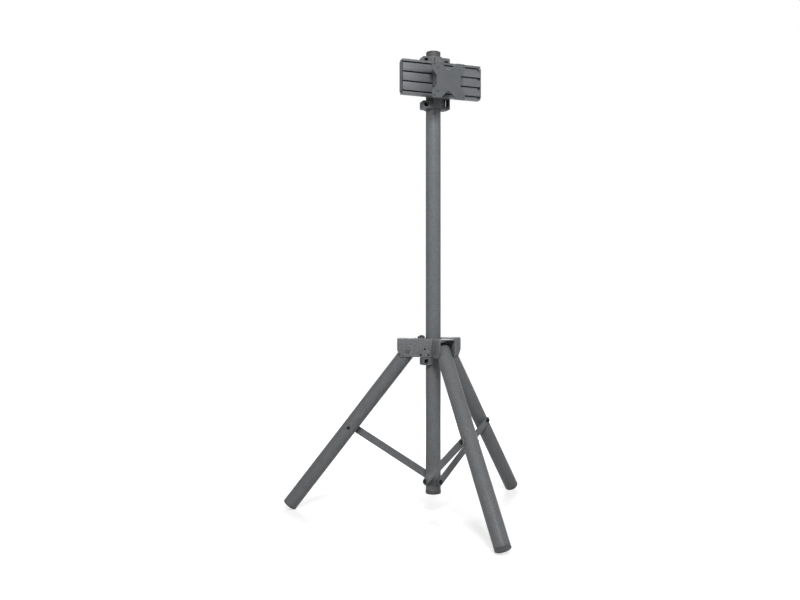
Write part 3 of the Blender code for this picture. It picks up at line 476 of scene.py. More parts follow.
def hex_screw(name, radius, length, head_radius, head, key):
    """A screw along z, its head above z = 0, with a round crown and a socket of key across flats."""
    crown = 0.4 * head
    profile = [(0.0, -length), (radius - 0.5 * MM, -length), (radius, 0.5 * MM - length), (radius, 0.0),
               (head_radius - 0.2 * MM, 0.0), (head_radius, 0.2 * MM)]
    profile += arc((head_radius - crown, head - crown), crown, 0.0, 90.0, 5)
    profile.append((0.0, head))
    bolt = turn_piece(name, profile, 48)
    socket = rod((0.0, 0.0, 0.0), ALONG_Z, key / math.sqrt(3.0), 0.35 * head, 2.0 * head, 6)
    cut(bolt, socket)
    return ease_edges(bolt, 0.12 * MM, 2)


# Pole

def make_pole():
    """The round pole, with its broken ends and the three holes for the brace bolts."""
    lip = 0.6 * MM
    tube = turn_piece("pole", [
        (TUBE_BORE, POLE_BOTTOM + lip), (TUBE_BORE + lip, POLE_BOTTOM), (TUBE_RADIUS - lip, POLE_BOTTOM),
        (TUBE_RADIUS, POLE_BOTTOM + lip), (TUBE_RADIUS, POLE_TOP - lip), (TUBE_RADIUS - lip, POLE_TOP),
        (TUBE_BORE + lip, POLE_TOP), (TUBE_BORE, POLE_TOP - lip),
    ])
    for azimuth in LEGS.values():
        side = (math.sin(azimuth), -math.cos(azimuth), 0.0)
        cut(tube, rod((0.0, 0.0, BRACE_FOOT_HEIGHT), side, SCREW_RADIUS + PLAY,
                      0.5 * TUBE_RADIUS, 1.5 * TUBE_RADIUS))
    finish_piece(tube, place_at(), "pole", TUBE_COAT, "tube_coat", "pole_tube")


def make_top_plug():
    """The ribbed plug in the pole's top."""
    height = 17.5 * MM
    radius = 24.2 * MM
    crown = 2.5 * MM
    rib = 0.9 * MM
    ribs = 24
    spigot = 20.0 * MM
    profile = [(0.0, -spigot), (SPIGOT_RADIUS - MM, -spigot), (SPIGOT_RADIUS, MM - spigot),
               (SPIGOT_RADIUS, GAP), (radius - 0.4 * MM, GAP), (radius, GAP + 0.8 * MM),
               (radius, GAP + 2.4 * MM), (radius - rib, GAP + 3.0 * MM), (radius - rib, height - 5.2 * MM),
               (radius, height - 4.6 * MM)]
    ribbed = (7, 8)
    profile += arc((radius - crown, height - crown), crown, 0.0, 90.0, 5)
    profile += [(0.62 * radius, height), (0.58 * radius, height - 0.8 * MM), (0.0, height - 0.8 * MM)]

    def flute(index, turn):
        return -rib * (0.5 + 0.5 * math.cos(ribs * turn)) if index in ribbed else 0.0

    plug = turn_piece("pole_plug", profile, 192, flute)
    finish_piece(plug, place_at(z=POLE_TOP), "pole", NYLON, "black_plastic", "pole_top_plug")


def make_base_cap():
    """The plug in the pole's lower end."""
    height = 12.0 * MM
    radius = 25.6 * MM
    edge = 2.2 * MM
    spigot = 20.0 * MM
    profile = [(0.0, -height)] + arc((radius - edge, edge - height), edge, -90.0, 0.0, 6)
    profile += [(radius, -0.8 * MM - GAP), (radius - 0.5 * MM, -GAP), (SPIGOT_RADIUS, -GAP),
                (SPIGOT_RADIUS, spigot - MM), (SPIGOT_RADIUS - MM, spigot), (0.0, spigot)]
    cap = turn_piece("pole_end_cap", profile)
    finish_piece(cap, place_at(z=POLE_BOTTOM), "pole", NYLON, "black_plastic", "pole_base_cap")


def make_brace_bolt(side, azimuth):
    """The shoulder screw that a brace swings on at the pole's foot."""
    outer = BRACE_FACE + BRACE_THICK + GAP
    inside = 9.0 * MM
    bolt = hex_screw("lower_brace_bolt_" + side, SCREW_RADIUS, outer - TUBE_BORE + inside,
                     BRACE_HEAD_RADIUS, BRACE_HEAD, BRACE_KEY)
    where = place_at(azimuth, 0.0, BRACE_FOOT_HEIGHT) @ moved(0.0, -outer, 0.0) @ laid(-1)
    finish_piece(bolt, where, "pole", BLACKENED, "dark_steel", "brace_bolt_" + side)


# Hub

def channel_section():
    """The bent sheet's section in (y, z), open at the bottom."""
    inner = BEND_RADIUS - SHEET
    low = HUB_HEIGHT - BEND_RADIUS
    right = (CHEEK_OUT - BEND_RADIUS, low)
    left = (BEND_RADIUS - CHEEK_OUT, low)
    points = [(CHEEK_OUT, 0.0)]
    points += arc(right, BEND_RADIUS, 0.0, 90.0, 8) + arc(left, BEND_RADIUS, 90.0, 180.0, 8)
    points += [(-CHEEK_OUT, 0.0), (-CHEEK, 0.0)]
    points += arc(left, inner, 180.0, 90.0, 4) + arc(right, inner, 90.0, 0.0, 4) + [(CHEEK, 0.0)]
    return points


def neighbour_line(y, distance):
    """Where a neighbouring long cheek's face, distance from the pole's axis, crosses y."""
    return (distance + 0.5 * y) / math.cos(math.radians(30.0))


def make_yoke(side, azimuth):
    """A bent channel: the long cheek runs on past the pole, the roof and the short cheek stop before it."""
    far = 2.0 * CHEEK_REACH
    low, high = -SHEET, HUB_HEIGHT + SHEET
    clear = CHEEK - GAP
    yoke = draw_out("yoke_" + side, channel_section(), -SHORT_CHEEK_START, CHEEK_REACH, "x")
    roof = block("roof", -far, SHORT_CHEEK_START, -far, CHEEK, low, high)
    mitre = draw_out("mitre", [
        (-neighbour_line(0.0, clear), 0.0), (-neighbour_line(far, clear), far), (-far, far), (-far, 0.0),
    ], low, high)
    nose_start, nose_height = CHEEK_REACH - 12.0 * MM, 22.0 * MM
    nose = draw_out("nose", [
        (nose_start, 0.0), (CHEEK_REACH, nose_height), (far, nose_height), (far, -far), (nose_start, -far),
    ], -far, far, "y")
    pivot = rod((PIVOT_REACH, 0.0, PIVOT_HEIGHT), ALONG_Y, PIVOT_RADIUS + PLAY, -far, far)
    cut(yoke, roof, mitre, nose, pivot)
    for x, z in RIVET_PLACES:
        cut(yoke, rod((x, 0.0, z), ALONG_Y, RIVET_RADIUS + PLAY, 0.0, far, 32))
    if side == "right":
        cut(yoke, rod((0.0, 0.0, LOCK_HEIGHT), ALONG_Y, LOCK_BORE, 0.0, far))
    ease_edges(yoke, 0.45 * MM, 2)
    where = place_at(azimuth, 0.0, HUB_BOTTOM)
    finish_piece(yoke, where, "hub", SHEET_COAT, "hub_coat", "hub_yoke_" + side)


def make_guide(side, azimuth):
    """The moulded block in the corner between two cheeks and the pole."""
    face = CHEEK - GAP
    bore = TUBE_RADIUS + 0.5 * MM
    thin_start = 8.0 * MM
    blunt = 3.0 * MM
    thin = math.degrees(math.atan2(face, thin_start))
    corner = neighbour_line(face, face)
    corner_angle = math.degrees(math.atan2(face, corner))
    far_angle = 2.0 * corner_angle - thin
    reach = math.hypot(thin_start, face)
    slant = (math.cos(math.radians(60.0)), math.sin(math.radians(60.0)))
    outline = arc((0.0, 0.0), bore, thin, far_angle, 24)
    outline.append((reach * math.cos(math.radians(far_angle)), reach * math.sin(math.radians(far_angle))))
    outline.append((corner - blunt * slant[0], face - blunt * slant[1]))
    outline.append((corner - blunt, face))
    outline.append((thin_start, face))
    margin = 3.25 * MM
    guide = draw_out("guide_" + side, outline, margin, HUB_HEIGHT - margin)
    ease_edges(guide, 0.3 * MM, 2)
    where = place_at(azimuth, 0.0, HUB_BOTTOM)
    finish_piece(guide, where, "hub", GUIDE_PLASTIC, "guide_plastic", "hub_guide_" + side)
    inside, outside = face - MM, CHEEK_OUT + GAP
    head_radius, head = 3.6 * MM, 1.6 * MM
    for count, (x, z) in enumerate(RIVET_PLACES):
        shank = [(0.0, inside), (RIVET_RADIUS, inside), (RIVET_RADIUS, outside)]
        dome = arc((0.0, outside), head_radius, 0.0, 90.0, 6, head)
        rivet = turn_piece("guide_rivet_%s_%d" % (side, count + 1), shank + dome, 32)
        finish_piece(rivet, where @ moved(x, 0.0, z) @ laid(1), "hub", BLACKENED, "dark_steel")


def make_pivot(side, azimuth):
    """The leg's hinge pin: a low domed head outside the long cheek and a riveted tail on the other."""
    outside = CHEEK_OUT + GAP
    tail_radius, tail = 6.0 * MM, 2.4 * MM
    head_radius, edge, rounding, crown = 7.5 * MM, 1.4 * MM, 2.3 * MM, 2.4 * MM
    profile = [(0.0, -outside - tail), (PIVOT_RADIUS - 0.8 * MM, -outside - tail),
               (PIVOT_RADIUS, -outside - 1.8 * MM), (tail_radius, -outside - 1.2 * MM),
               (tail_radius, -outside), (PIVOT_RADIUS, -outside), (PIVOT_RADIUS, outside),
               (head_radius, outside)]
    profile += arc((head_radius - rounding, outside + edge), rounding, 0.0, 90.0, 5, crown)
    profile += [(3.4 * MM, outside + edge + crown), (2.6 * MM, outside + 2.9 * MM), (0.0, outside + 2.7 * MM)]
    pivot = turn_piece("leg_hinge_pin_" + side, profile, 64)
    where = place_at(azimuth, PIVOT_REACH, PIVOT_Z) @ laid(1)
    finish_piece(pivot, where, "hub", PHOSPHATED, "dark_steel", "leg_pivot_" + side)


def make_lock():
    """The hand screw that holds the hub on the pole, square on the right leg's long cheek."""
    where = place_at(LEGS["right"], 0.0, HUB_BOTTOM + LOCK_HEIGHT) @ laid(1)
    seat = CHEEK_OUT + GAP
    boss = turn_piece("lock_socket", [
        (LOCK_BORE, seat), (8.6 * MM, seat), (9.0 * MM, seat + 0.6 * MM), (9.0 * MM, seat + 6.2 * MM),
        (8.2 * MM, seat + 7.0 * MM), (5.9 * MM, seat + 7.0 * MM), (LOCK_BORE, seat + 6.4 * MM),
    ], 64)
    finish_piece(boss, where, "hub", SHEET_COAT, "hub_coat", "lock_boss")
    inner, thick, radius = 42.0 * MM, 16.0 * MM, 20.0 * MM
    socket = inner + 10.0 * MM
    profile = [(LOCK_BORE, inner), (12.0 * MM, inner), (13.0 * MM, inner + 1.6 * MM),
               (radius - 2.0 * MM, inner + 2.4 * MM), (radius, inner + 4.0 * MM)]
    profile += arc((radius - 4.0 * MM, inner + thick - 4.5 * MM), 4.0 * MM, 0.0, 90.0, 5, 3.5 * MM)
    profile += [(8.0 * MM, inner + thick), (0.0, inner + thick), (0.0, socket), (LOCK_BORE, socket)]
    gripped = range(3, 10)
    grip, grips = 1.1 * MM, 10

    def flute(index, turn):
        return grip * max(0.0, math.cos(grips * turn)) ** 2 if index in gripped else 0.0

    knob = turn_piece("lock_hand_wheel", profile, 240, flute)
    finish_piece(knob, where, "lock", NYLON, "black_plastic", "lock_knob")
    tip, end = TUBE_RADIUS + GAP, socket - GAP
    crest, root = 4.9 * MM, 4.4 * MM
    thread = [(0.0, tip), (4.0 * MM, tip), (crest, tip + MM)]
    length = end - (tip + MM)
    turns = 26
    for step in range(1, 2 * turns):
        thread.append((crest if step % 2 == 0 else root, tip + MM + length * step / (2.0 * turns)))
    thread += [(crest, end), (0.0, end)]
    spindle = turn_piece("lock_screw", thread, 48)
    finish_piece(spindle, where, "lock", BLACKENED, "dark_steel", "lock_spindle")


# Legs

def make_leg(side, azimuth):
    """A leg's tube, its domed cap in the yoke, its foot plug and the pin that its brace is screwed to."""
    body = "leg_" + side
    where = place_at(azimuth, PIVOT_REACH, PIVOT_Z, -LEG_ANGLE)
    brim, spigot = 4.0 * MM, 30.0 * MM
    low = brim + GAP - LEG_LENGTH
    lip = 0.6 * MM
    tube = turn_piece("leg_" + side, [
        (TUBE_BORE, low + lip), (TUBE_BORE + lip, low), (TUBE_RADIUS - lip, low), (TUBE_RADIUS, low + lip),
        (TUBE_RADIUS, LEG_STUB - lip), (TUBE_RADIUS - lip, LEG_STUB), (TUBE_BORE + lip, LEG_STUB),
        (TUBE_BORE, LEG_STUB - lip),
    ])
    far = 2.0 * TUBE_RADIUS
    cut(tube, rod((0.0, 0.0, 0.0), ALONG_Y, PIVOT_RADIUS + PLAY, -far, far),
        rod((0.0, 0.0, -PIN_ALONG_LEG), ALONG_Y, PIN_RADIUS + PLAY, -far, far))
    finish_piece(tube, where, body, TUBE_COAT, "tube_coat", "leg_tube_" + side)

    seat, cap_spigot = LEG_STUB + GAP, 5.0 * MM
    dome, corner = 9.2 * MM, 0.3 * MM
    cap_profile = [(0.0, LEG_STUB - cap_spigot), (SPIGOT_RADIUS, LEG_STUB - cap_spigot),
                   (SPIGOT_RADIUS, seat), (TUBE_RADIUS - corner, seat)]
    cap_profile += arc((TUBE_RADIUS - dome, seat + corner), dome, 0.0, 90.0, 8, dome - corner)
    cap = turn_piece("leg_dome_" + side, cap_profile + [(0.0, seat + dome)])
    finish_piece(cap, where, body, NYLON, "black_plastic", "leg_top_cap_" + side)

    edge = 1.6 * MM
    foot_profile = [(0.0, -LEG_LENGTH), (19.0 * MM, -LEG_LENGTH), (19.6 * MM, 0.5 * MM - LEG_LENGTH),
                    (20.6 * MM, 0.5 * MM - LEG_LENGTH), (21.2 * MM, -LEG_LENGTH)]
    foot_profile += arc((TUBE_RADIUS - edge, edge - LEG_LENGTH), edge, -90.0, 0.0, 6)
    foot_profile += [(TUBE_RADIUS, brim - 0.4 * MM - LEG_LENGTH), (TUBE_RADIUS - 0.4 * MM, brim - LEG_LENGTH),
                     (SPIGOT_RADIUS, brim - LEG_LENGTH), (SPIGOT_RADIUS, spigot - MM - LEG_LENGTH),
                     (SPIGOT_RADIUS - MM, spigot - LEG_LENGTH), (0.0, spigot - LEG_LENGTH)]
    foot = turn_piece("foot_plug_" + side, foot_profile)
    finish_piece(foot, where, body, FOOT_PLASTIC, "black_plastic", "leg_foot_" + side)

    head = TUBE_RADIUS + GAP
    head_radius, rounding, crown = 5.5 * MM, 2.3 * MM, 2.5 * MM
    pin_profile = [(0.0, -TUBE_RADIUS), (PIN_RADIUS - 0.4 * MM, -TUBE_RADIUS),
                   (PIN_RADIUS, 0.4 * MM - TUBE_RADIUS), (PIN_RADIUS, head)]
    pin_profile += arc((head_radius - rounding, head), rounding, 0.0, 90.0, 5, crown)
    pin_profile += [(2.0 * MM, head + 1.4 * MM), (0.0, head + 1.2 * MM)]
    pin = turn_piece("brace_pin_" + side, pin_profile, 48)
    pin_place = where @ moved(0.0, 0.0, -PIN_ALONG_LEG) @ laid(1)
    finish_piece(pin, pin_place, body, BLACKENED, "dark_steel", "leg_pin_" + side)


def make_brace(side, azimuth):
    """A flat bar with round ends, and the screw at its leg end."""
    body = "brace_" + side
    where = place_at(azimuth, 0.0, BRACE_FOOT_HEIGHT, BRACE_ANGLE)
    half = 0.5 * BRACE_WIDTH
    outer = BRACE_FACE + BRACE_THICK
    outline = arc((0.0, 0.0), half, 180.0, 360.0, 24) + arc((0.0, BRACE_LENGTH), half, 0.0, 180.0, 24)
    bar = draw_out("brace_" + side, outline, -outer, -BRACE_FACE, "y")
    for z in (0.0, BRACE_LENGTH):
        cut(bar, rod((0.0, 0.0, z), ALONG_Y, SCREW_RADIUS + PLAY, -2.0 * outer, 0.0))
    ease_edges(bar, 0.5 * MM)
    finish_piece(bar, where, body, TUBE_COAT, "tube_coat", "brace_bar_" + side)
    fixing = hex_screw("upper_brace_screw_" + side, SCREW_RADIUS, outer - TUBE_RADIUS,
                       BRACE_HEAD_RADIUS, BRACE_HEAD, BRACE_KEY)
    place = where @ moved(0.0, -outer - GAP, BRACE_LENGTH) @ laid(-1)
    finish_piece(fixing, place, body, BLACKENED, "dark_steel", "brace_screw_" + side)


# Pipe clamps. In a clamp's own frame x runs to the display's right, -y to the front, and z = 0 is
# the lower face. The head's upper clamp is the same clamp turned top to bottom.

def clamp_casting(name, front, hinged):
    """Half a ring with a lobe on each side: the front half is deeper, and taller where it is hinged."""
    way = -1.0 if front else 1.0
    depth = LOBE_DEPTH_FRONT if front else LOBE_DEPTH_REAR
    out = LOBE_OUT if front else STRAP_OUT
    turn = 180.0 if front else 0.0
    ring = 33.0 * MM
    split = 0.5 * MM
    edge = math.degrees(math.asin(split / ring))
    inset = 1.5 * MM
    half_ring = arc((0.0, 0.0), ring, turn + edge, turn + 180.0 - edge, 40)
    casting = draw_out(name, half_ring, inset, CLAMP_HEIGHT - inset)
    near, far = sorted((way * split, way * depth))
    tall = 52.0 * MM if hinged and front else CLAMP_HEIGHT
    left = draw_out("left", round_box(-out, -LOBE_IN, 0.0, CLAMP_HEIGHT, LOBE_ROUND), near, far, "y")
    right = draw_out("right", round_box(LOBE_IN, out, 0.0, tall, LOBE_ROUND), near, far, "y")
    return join(casting, left, right)


def make_clamp(prefix, name, where, flipped, hinged, body):
    """A saddle and a strap round the pole, with a hinge pin and one screw, or with two screws."""
    flip = Matrix.Scale(-1.0, 4, (0.0, 0.0, 1.0)) if flipped else Matrix.Identity(4)
    saddle = clamp_casting(name + "_front_half", True, hinged)
    strap = clamp_casting(name + "_rear_half", False, hinged)
    far, through = 100.0 * MM, 90.0 * MM
    middle = 0.5 * CLAMP_HEIGHT
    extras = []
    if body == "head":
        plate_rear = 2.0 * GAP + BACK_PLATE_THICK + PANEL_DEPTH - PANEL_FRONT
        join(saddle, block("rib", -12.0 * MM, 12.0 * MM, plate_rear, -29.7 * MM, 3.0 * MM, 62.0 * MM))
    if hinged:
        x, y = CLAMP_SCREW_REACH, -HINGE_PIN_FORWARD
        window = round_box(x - 9.0 * MM, x + 9.0 * MM, 10.0 * MM, 47.0 * MM, 5.4 * MM)
        cut(saddle, draw_out("window", window, -far, far, "y"))
        eye, eye_low, eye_high = 7.2 * MM, 35.0 * MM, 43.0 * MM
        knuckle_outline = arc((x, y), eye, 180.0, 360.0, 24)
        knuckle_outline += [(x + eye, LOBE_DEPTH_REAR), (x - eye, LOBE_DEPTH_REAR)]
        knuckle = draw_out("knuckle", knuckle_outline, eye_low, eye_high)
        cut(knuckle, rod((x, y, 0.0), ALONG_Z, HINGE_PIN_RADIUS + PLAY, 0.0, far))
        arm = block("arm", x - 8.0 * MM, x + 8.0 * MM, 1.0 * MM, LOBE_DEPTH_REAR, 15.0 * MM, eye_high)
        join(strap, arm, knuckle)
        cut(saddle, rod((x, y, 0.0), ALONG_Z, HINGE_PIN_RADIUS + PLAY, 4.0 * MM, far))
        pin_start, pin_end, round_end = 4.3 * MM, 52.0 * MM, 0.8 * MM
        pin = turn_piece(name + "_hinge_rod", [
            (0.0, pin_start), (HINGE_PIN_RADIUS, pin_start), (HINGE_PIN_RADIUS, pin_end - round_end),
            (HINGE_PIN_RADIUS - 0.3 * round_end, pin_end - 0.3 * round_end),
            (HINGE_PIN_RADIUS - round_end, pin_end), (0.0, pin_end),
        ], 48)
        pin.data.transform(moved(x, y, 0.0))
        extras.append((pin, prefix + "_hinge_pin"))
    places = (-CLAMP_SCREW_REACH,) if hinged else (-CLAMP_SCREW_REACH, CLAMP_SCREW_REACH)
    for half in (saddle, strap):
        cut(half, rod((0.0, 0.0, 0.0), ALONG_Z, TUBE_RADIUS + GAP, -through, through, ROUND_SIDES))
        for x in places:
            cut(half, rod((x, 0.0, middle), ALONG_Y, SCREW_RADIUS + PLAY, -through, through))
    for x in places:
        depth = LOBE_DEPTH_FRONT - COUNTERBORE_DEPTH
        cut(saddle, rod((x, 0.0, middle), AGAINST_Y, COUNTERBORE_RADIUS, depth, through))
        tag = "" if hinged else ("_left" if x < 0.0 else "_right")
        length = depth + GAP + LOBE_DEPTH_REAR
        bolt = hex_screw(name + "_bolt" + tag, SCREW_RADIUS, length,
                         CLAMP_SCREW_HEAD_RADIUS, CLAMP_SCREW_HEAD, CLAMP_SCREW_KEY)
        bolt.data.transform(moved(x, -depth - GAP, middle) @ laid(-1))
        extras.append((bolt, prefix + "_screw" + tag))
    for piece, node in ((saddle, prefix + "_saddle"), (strap, prefix + "_strap")):
        ease_edges(piece, 0.9 * MM)
        piece.data.transform(flip)
        if flipped:
            piece.data.flip_normals()
        finish_piece(piece, where, body, CAST_COAT, "hub_coat", node)
    for piece, node in extras:
        piece.data.transform(flip)
        if flipped:
            piece.data.flip_normals()
        finish_piece(piece, where, body, BLACKENED, "dark_steel", node)


# Head

def panel_section():
    """The extrusion's section in (y, z), with the T-slots in its front face, at the low y."""
    half = 0.5 * PANEL_DEPTH
    top = 0.5 * PANEL_HEIGHT
    mouth, wide = 2.3 * MM, 5.5 * MM
    lip, floor = half - SLOT_LIP, half - SLOT_DEPTH
    points = [(half, top), (half, -top), (-half, -top)]
    for z in SLOT_HEIGHTS:
        points += [
            (-half, z - mouth), (-lip, z - mouth), (-lip, z - wide), (-floor, z - wide),
            (-floor, z + wide), (-lip, z + wide), (-lip, z + mouth), (-half, z + mouth),
        ]
    return points + [(-half, top)]


def make_panel():
    """The T-slot extrusion, with a dip under each slot near its right end, and its two end caps."""
    where = place_at(z=PANEL_MIDDLE) @ moved(0.0, 0.5 * PANEL_DEPTH - PANEL_FRONT, 0.0)
    half = 0.5 * PANEL_LENGTH
    panel = draw_out("t_slot_panel", panel_section(), -half, half, "x")
    front = -0.5 * PANEL_DEPTH
    dip_start, dip_end, dip_height = half - 11.0 * MM, half - 2.0 * MM, 7.0 * MM
    for z in SLOT_HEIGHTS:
        dip = round_box(dip_start, dip_end, z - dip_height, z, 1.5 * MM)
        cut(panel, draw_out("dip", dip, 2.0 * front, front + SLOT_DEPTH, "y"))
    ease_edges(panel, 0.9 * MM)
    finish_piece(panel, where, "head", ANODISED, "anodised", "panel")
    # Faces inside the slots and their dips take the darker copy of the film: painted shade in the recesses.
    panel.data.materials.append(PAINTED_SLOT_SHADE)
    for face in panel.data.polygons:
        along, depth, height = face.center
        in_shaded_slots = front + 1.5 * MM < depth < front + SLOT_DEPTH + 1.0 * MM
        if in_shaded_slots and abs(along) < half - 0.1 * MM:
            face.material_index = 1 if abs(height) < 0.5 * PANEL_HEIGHT - 2.0 * MM else 0
    deep, tall, thick = 10.0 * MM, 49.0 * MM, 3.0 * MM
    for side, way in (("left", -1.0), ("right", 1.0)):
        near, far = sorted((way * (half + GAP), way * (half + GAP + thick)))
        outline = round_box(-deep, deep, -tall, tall, 2.0 * MM)
        cap = draw_out("panel_end_" + side, outline, near, far, "x")
        ease_edges(cap, 0.8 * MM)
        finish_piece(cap, where, "head", NYLON, "black_plastic", "panel_cap_" + side)


def make_back_plate():
    """The flat plate between the clamps and the panel."""
    face = PANEL_FRONT - PANEL_DEPTH - GAP
    wide, tall = 42.0 * MM, 56.0 * MM
    outline = round_box(-wide, wide, -tall, tall, LOBE_ROUND)
    plate = draw_out("clamp_plate", outline, -face, BACK_PLATE_THICK - face, "y")
    ease_edges(plate, 0.6 * MM)
    finish_piece(plate, place_at(z=PANEL_MIDDLE), "head", SHEET_COAT, "hub_coat", "back_plate")


# Plate carriage

def slot_places():
    """The name, x and z of the two screws that hold the standoff in the middle slots."""
    for name, way in (("lower", -1.0), ("upper", 1.0)):
        yield name, way * SLOT_SCREW_SHIFT, way * 0.5 * SLOT_PITCH


def make_standoff():
    """The short box section between the panel and the X plate."""
    rear, front = -PANEL_FRONT - GAP, PLATE_THICK + GAP - PLATE_FRONT
    half, tall = STANDOFF_HALF_WIDTH, STANDOFF_HALF_HEIGHT
    tube = draw_out("spacer_tube", round_box(-half, half, front, rear, 5.0 * MM), -tall, tall)
    inner = round_box(STANDOFF_WALL - half, half - STANDOFF_WALL, front + STANDOFF_WALL,
                      rear - STANDOFF_WALL, 3.0 * MM)
    cut(tube, draw_out("hollow", inner, -2.0 * tall, 2.0 * tall))
    start, end = PANEL_FRONT - SLOT_DEPTH, PANEL_FRONT + 12.0 * MM
    for _, x, z in slot_places():
        cut(tube, rod((x, 0.0, z), AGAINST_Y, SLOT_SCREW_HOLE, start, end, 24))
    ease_edges(tube, 0.5 * MM)
    finish_piece(tube, place_at(z=PANEL_MIDDLE), "carriage", SHEET_COAT, "hub_coat", "standoff")


def plate_outline():
    """The X-shaped outline in (x, z), drawn from its right-hand upper quarter."""
    half = 0.5 * PLATE_SIZE
    quarter = [
        (half - 16.0 * MM, 14.0 * MM), (half, 33.0 * MM), (half, half), (27.0 * MM, half),
        (3.0 * MM, half - 25.0 * MM),
    ]
    left = [(-x, z) for x, z in reversed(quarter)]
    whole = quarter + left + [(-x, -z) for x, z in quarter] + [(x, -z) for x, z in reversed(quarter)]
    return eased(whole, 4.0 * MM)


def make_vesa_plate():
    """The X plate with its two square hole patterns."""
    plate = draw_out("x_plate", plate_outline(), -PLATE_FRONT, PLATE_THICK - PLATE_FRONT, "y")
    start, end = PLATE_FRONT - 12.0 * MM, PLATE_FRONT + 12.0 * MM
    for spacing in VESA_HALF_PITCHES:
        for x in (-spacing, spacing):
            for z in (-spacing, spacing):
                cut(plate, rod((x, 0.0, z), AGAINST_Y, VESA_HOLE, start, end, 32))
    ease_edges(plate, 0.4 * MM)
    finish_piece(plate, place_at(z=PLATE_MIDDLE), "carriage", PLATE_COAT, "hub_coat", "vesa_plate")


def make_slot_fixings():
    """The standoff's two screws and the nuts that slide in the panel's slots."""
    wall = -PANEL_FRONT - 2.0 * GAP - STANDOFF_WALL
    for side, x, z in slot_places():
        where = place_at(z=PANEL_MIDDLE) @ moved(x, 0.0, z)
        tip = PANEL_FRONT - SLOT_DEPTH + GAP
        fixing = hex_screw("slot_bolt_" + side, SLOT_SCREW_RADIUS, -wall - tip,
                           SLOT_SCREW_HEAD_RADIUS, SLOT_SCREW_HEAD, SLOT_SCREW_KEY)
        screw_place = where @ moved(0.0, wall, 0.0) @ laid(-1)
        finish_piece(fixing, screw_place, "carriage", BLACKENED, "dark_steel", "slot_screw_" + side)
        wide, high = 8.0 * MM, 5.2 * MM
        outline = eased([(-wide, -high), (wide, -high), (wide, high), (-wide, high)], 1.5 * MM)
        nut = draw_out("slot_slider_" + side, outline, GAP + SLOT_LIP - PANEL_FRONT, -tip, "y")
        start, end = 0.5 * PANEL_FRONT, 2.0 * PANEL_FRONT
        cut(nut, rod((0.0, 0.0, 0.0), AGAINST_Y, SLOT_SCREW_HOLE, start, end, 24))
        ease_edges(nut, 0.4 * MM, 2)
        finish_piece(nut, where, "carriage", BLACKENED, "dark_steel", "slot_nut_" + side)


# Stage

FLOOR_GREY = "c6c6c6"
FLOOR_GLOW_NEAR, FLOOR_GLOW_FAR = 0.58, 1.0
GLOW_START, GLOW_END = 0.5, 2.2
FLOOR_RADIUS = 14.0
SURROUND_ON_OBJECT = 0.05
WHITE = (1.0, 1.0, 1.0, 1.0)

LAMP_DISTANCE = 2.6
LAMP_AIM = Vector((0.0, POLE_Y, 0.9))

LENS = 38.85
CAMERA_PLACE = (-1.144, POLE_Y - 2.6495, 0.7165)
CAMERA_TURN = math.radians(-21.15)


def seen_or_mirrored(tree):
    """A node that is 1 for rays from the camera, in a mirror image or through glass, and else 0."""
    seen = add(tree, "ShaderNodeLightPath")
    reflected = add(tree, "ShaderNodeMath", {"operation": "MAXIMUM"},
                    {0: (seen, "Is Camera Ray"), 1: (seen, "Is Glossy Ray")})
    return add(tree, "ShaderNodeMath", {"operation": "MAXIMUM"},
               {0: (reflected, 0), 1: (seen, "Is Transmission Ray")})


def make_stage():
    """A pale floor that keeps the stand's soft shadow, and a white surround.

    The floor glows only in what is seen or mirrored, and less near the stand, where the lamps add to it
    and where their shadows have to show.
    """
    material = bpy.data.materials.new("pale_studio_floor")
    material.use_nodes = True
    tree = material.node_tree
    tree.nodes.clear()
    matte = add(tree, "ShaderNodeBsdfDiffuse", {"Color": from_hex(FLOOR_GREY)})
    place = add(tree, "ShaderNodeTexCoord")
    reach = add(tree, "ShaderNodeVectorMath", {"operation": "LENGTH"}, {0: (place, "Object")})
    fade = add(tree, "ShaderNodeMapRange", {"From Min": GLOW_START, "From Max": GLOW_END,
                                            "To Min": FLOOR_GLOW_NEAR, "To Max": FLOOR_GLOW_FAR},
               {"Value": (reach, 1)})
    glow = add(tree, "ShaderNodeEmission", {"Color": WHITE}, {"Strength": (fade, 0)})
    lit = add(tree, "ShaderNodeAddShader", {}, {0: (matte, 0), 1: (glow, 0)})
    mixed = add(tree, "ShaderNodeMixShader", {},
                {0: (seen_or_mirrored(tree), 0), 1: (matte, 0), 2: (lit, 0)})
    add(tree, "ShaderNodeOutputMaterial", {}, {"Surface": (mixed, 0)})
    shape = bmesh.new()
    bmesh.ops.create_circle(shape, cap_ends=True, radius=FLOOR_RADIUS, segments=96)
    floor = as_piece("studio_floor", shape)
    floor.location.z = -0.2 * MM
    floor.data.materials.append(material)

    world = bpy.data.worlds.new("white_surround")
    bpy.context.scene.world = world
    world.use_nodes = True
    tree = world.node_tree
    tree.nodes.clear()
    dim = add(tree, "ShaderNodeBackground", {"Color": WHITE, "Strength": SURROUND_ON_OBJECT})
    white = add(tree, "ShaderNodeBackground", {"Color": WHITE, "Strength": 1.0})
    mixed = add(tree, "ShaderNodeMixShader", {},
                {0: (seen_or_mirrored(tree), 0), 1: (dim, 0), 2: (white, 0)})
    add(tree, "ShaderNodeOutputWorld", {}, {"Surface": (mixed, 0)})


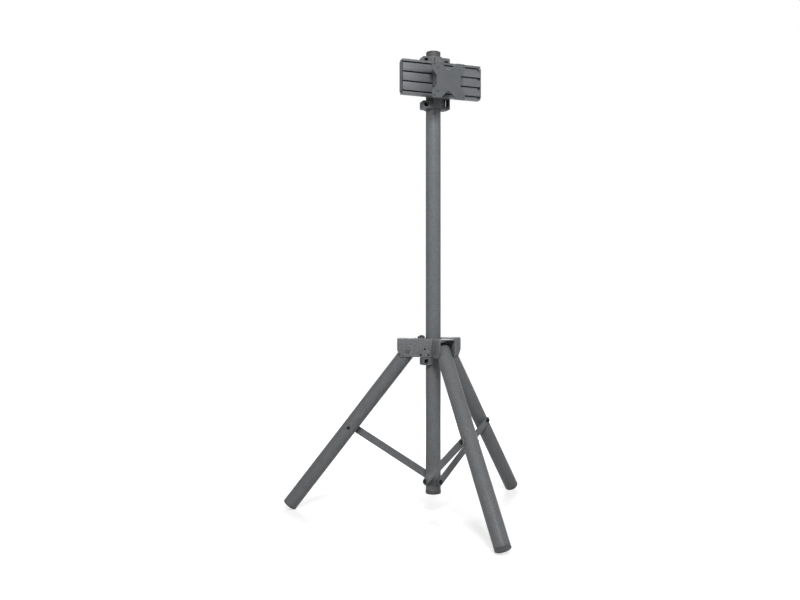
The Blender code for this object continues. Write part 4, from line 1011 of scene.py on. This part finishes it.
def make_softbox(name, bearing, height, wide, tall, power):
    """A soft light round the pole at a bearing in degrees, turned to the middle of the stand."""
    lamp = bpy.data.lights.new(name, "AREA")
    lamp.shape = "RECTANGLE"
    lamp.size, lamp.size_y = wide, tall
    lamp.energy = power
    box = bpy.data.objects.new(name, lamp)
    turn = math.radians(bearing)
    place = Vector((LAMP_DISTANCE * math.cos(turn), POLE_Y + LAMP_DISTANCE * math.sin(turn), height))
    box.location = place
    box.rotation_euler = (LAMP_AIM - place).to_track_quat("-Z", "Y").to_euler()
    bpy.context.scene.collection.objects.link(box)


def make_camera():
    """The camera, level and where the photograph was taken from."""
    data = bpy.data.cameras.new("portrait_camera")
    data.lens = LENS
    data.sensor_width = 36.0
    data.clip_end = 60.0
    camera = bpy.data.objects.new("portrait_camera", data)
    camera.location = CAMERA_PLACE
    camera.rotation_euler = (math.radians(90.0), 0.0, CAMERA_TURN)
    bpy.context.scene.collection.objects.link(camera)
    bpy.context.scene.camera = camera


make_stage()
make_softbox("key_softbox", -109.0, 2.4, 0.8, 0.8, 86.0)
make_softbox("left_strip", -156.0, 1.6, 0.25, 1.8, 10.0)
make_softbox("right_strip", -52.0, 1.6, 0.25, 1.8, 12.0)
make_softbox("rear_softbox", 69.0, 2.4, 1.2, 1.2, 75.0)
make_camera()

make_pole()
make_top_plug()
make_base_cap()
for leg, bearing in LEGS.items():
    make_brace_bolt(leg, bearing)
    make_yoke(leg, bearing)
    make_guide(leg, bearing)
    make_pivot(leg, bearing)
    make_leg(leg, bearing)
    make_brace(leg, bearing)
make_lock()
make_clamp("collar", "stop_collar", place_at(z=COLLAR_BOTTOM), False, False, "pole")
for level, way in (("lower", -1.0), ("upper", 1.0)):
    spot = place_at(z=PANEL_MIDDLE + way * 0.5 * CLAMP_SPAN)
    make_clamp(level + "_clamp", level + "_pipe_clamp", spot, way > 0.0, True, "head")
make_back_plate()
make_panel()
make_standoff()
make_vesa_plate()
make_slot_fixings()

bpy.context.scene.view_settings.view_transform = "Standard"
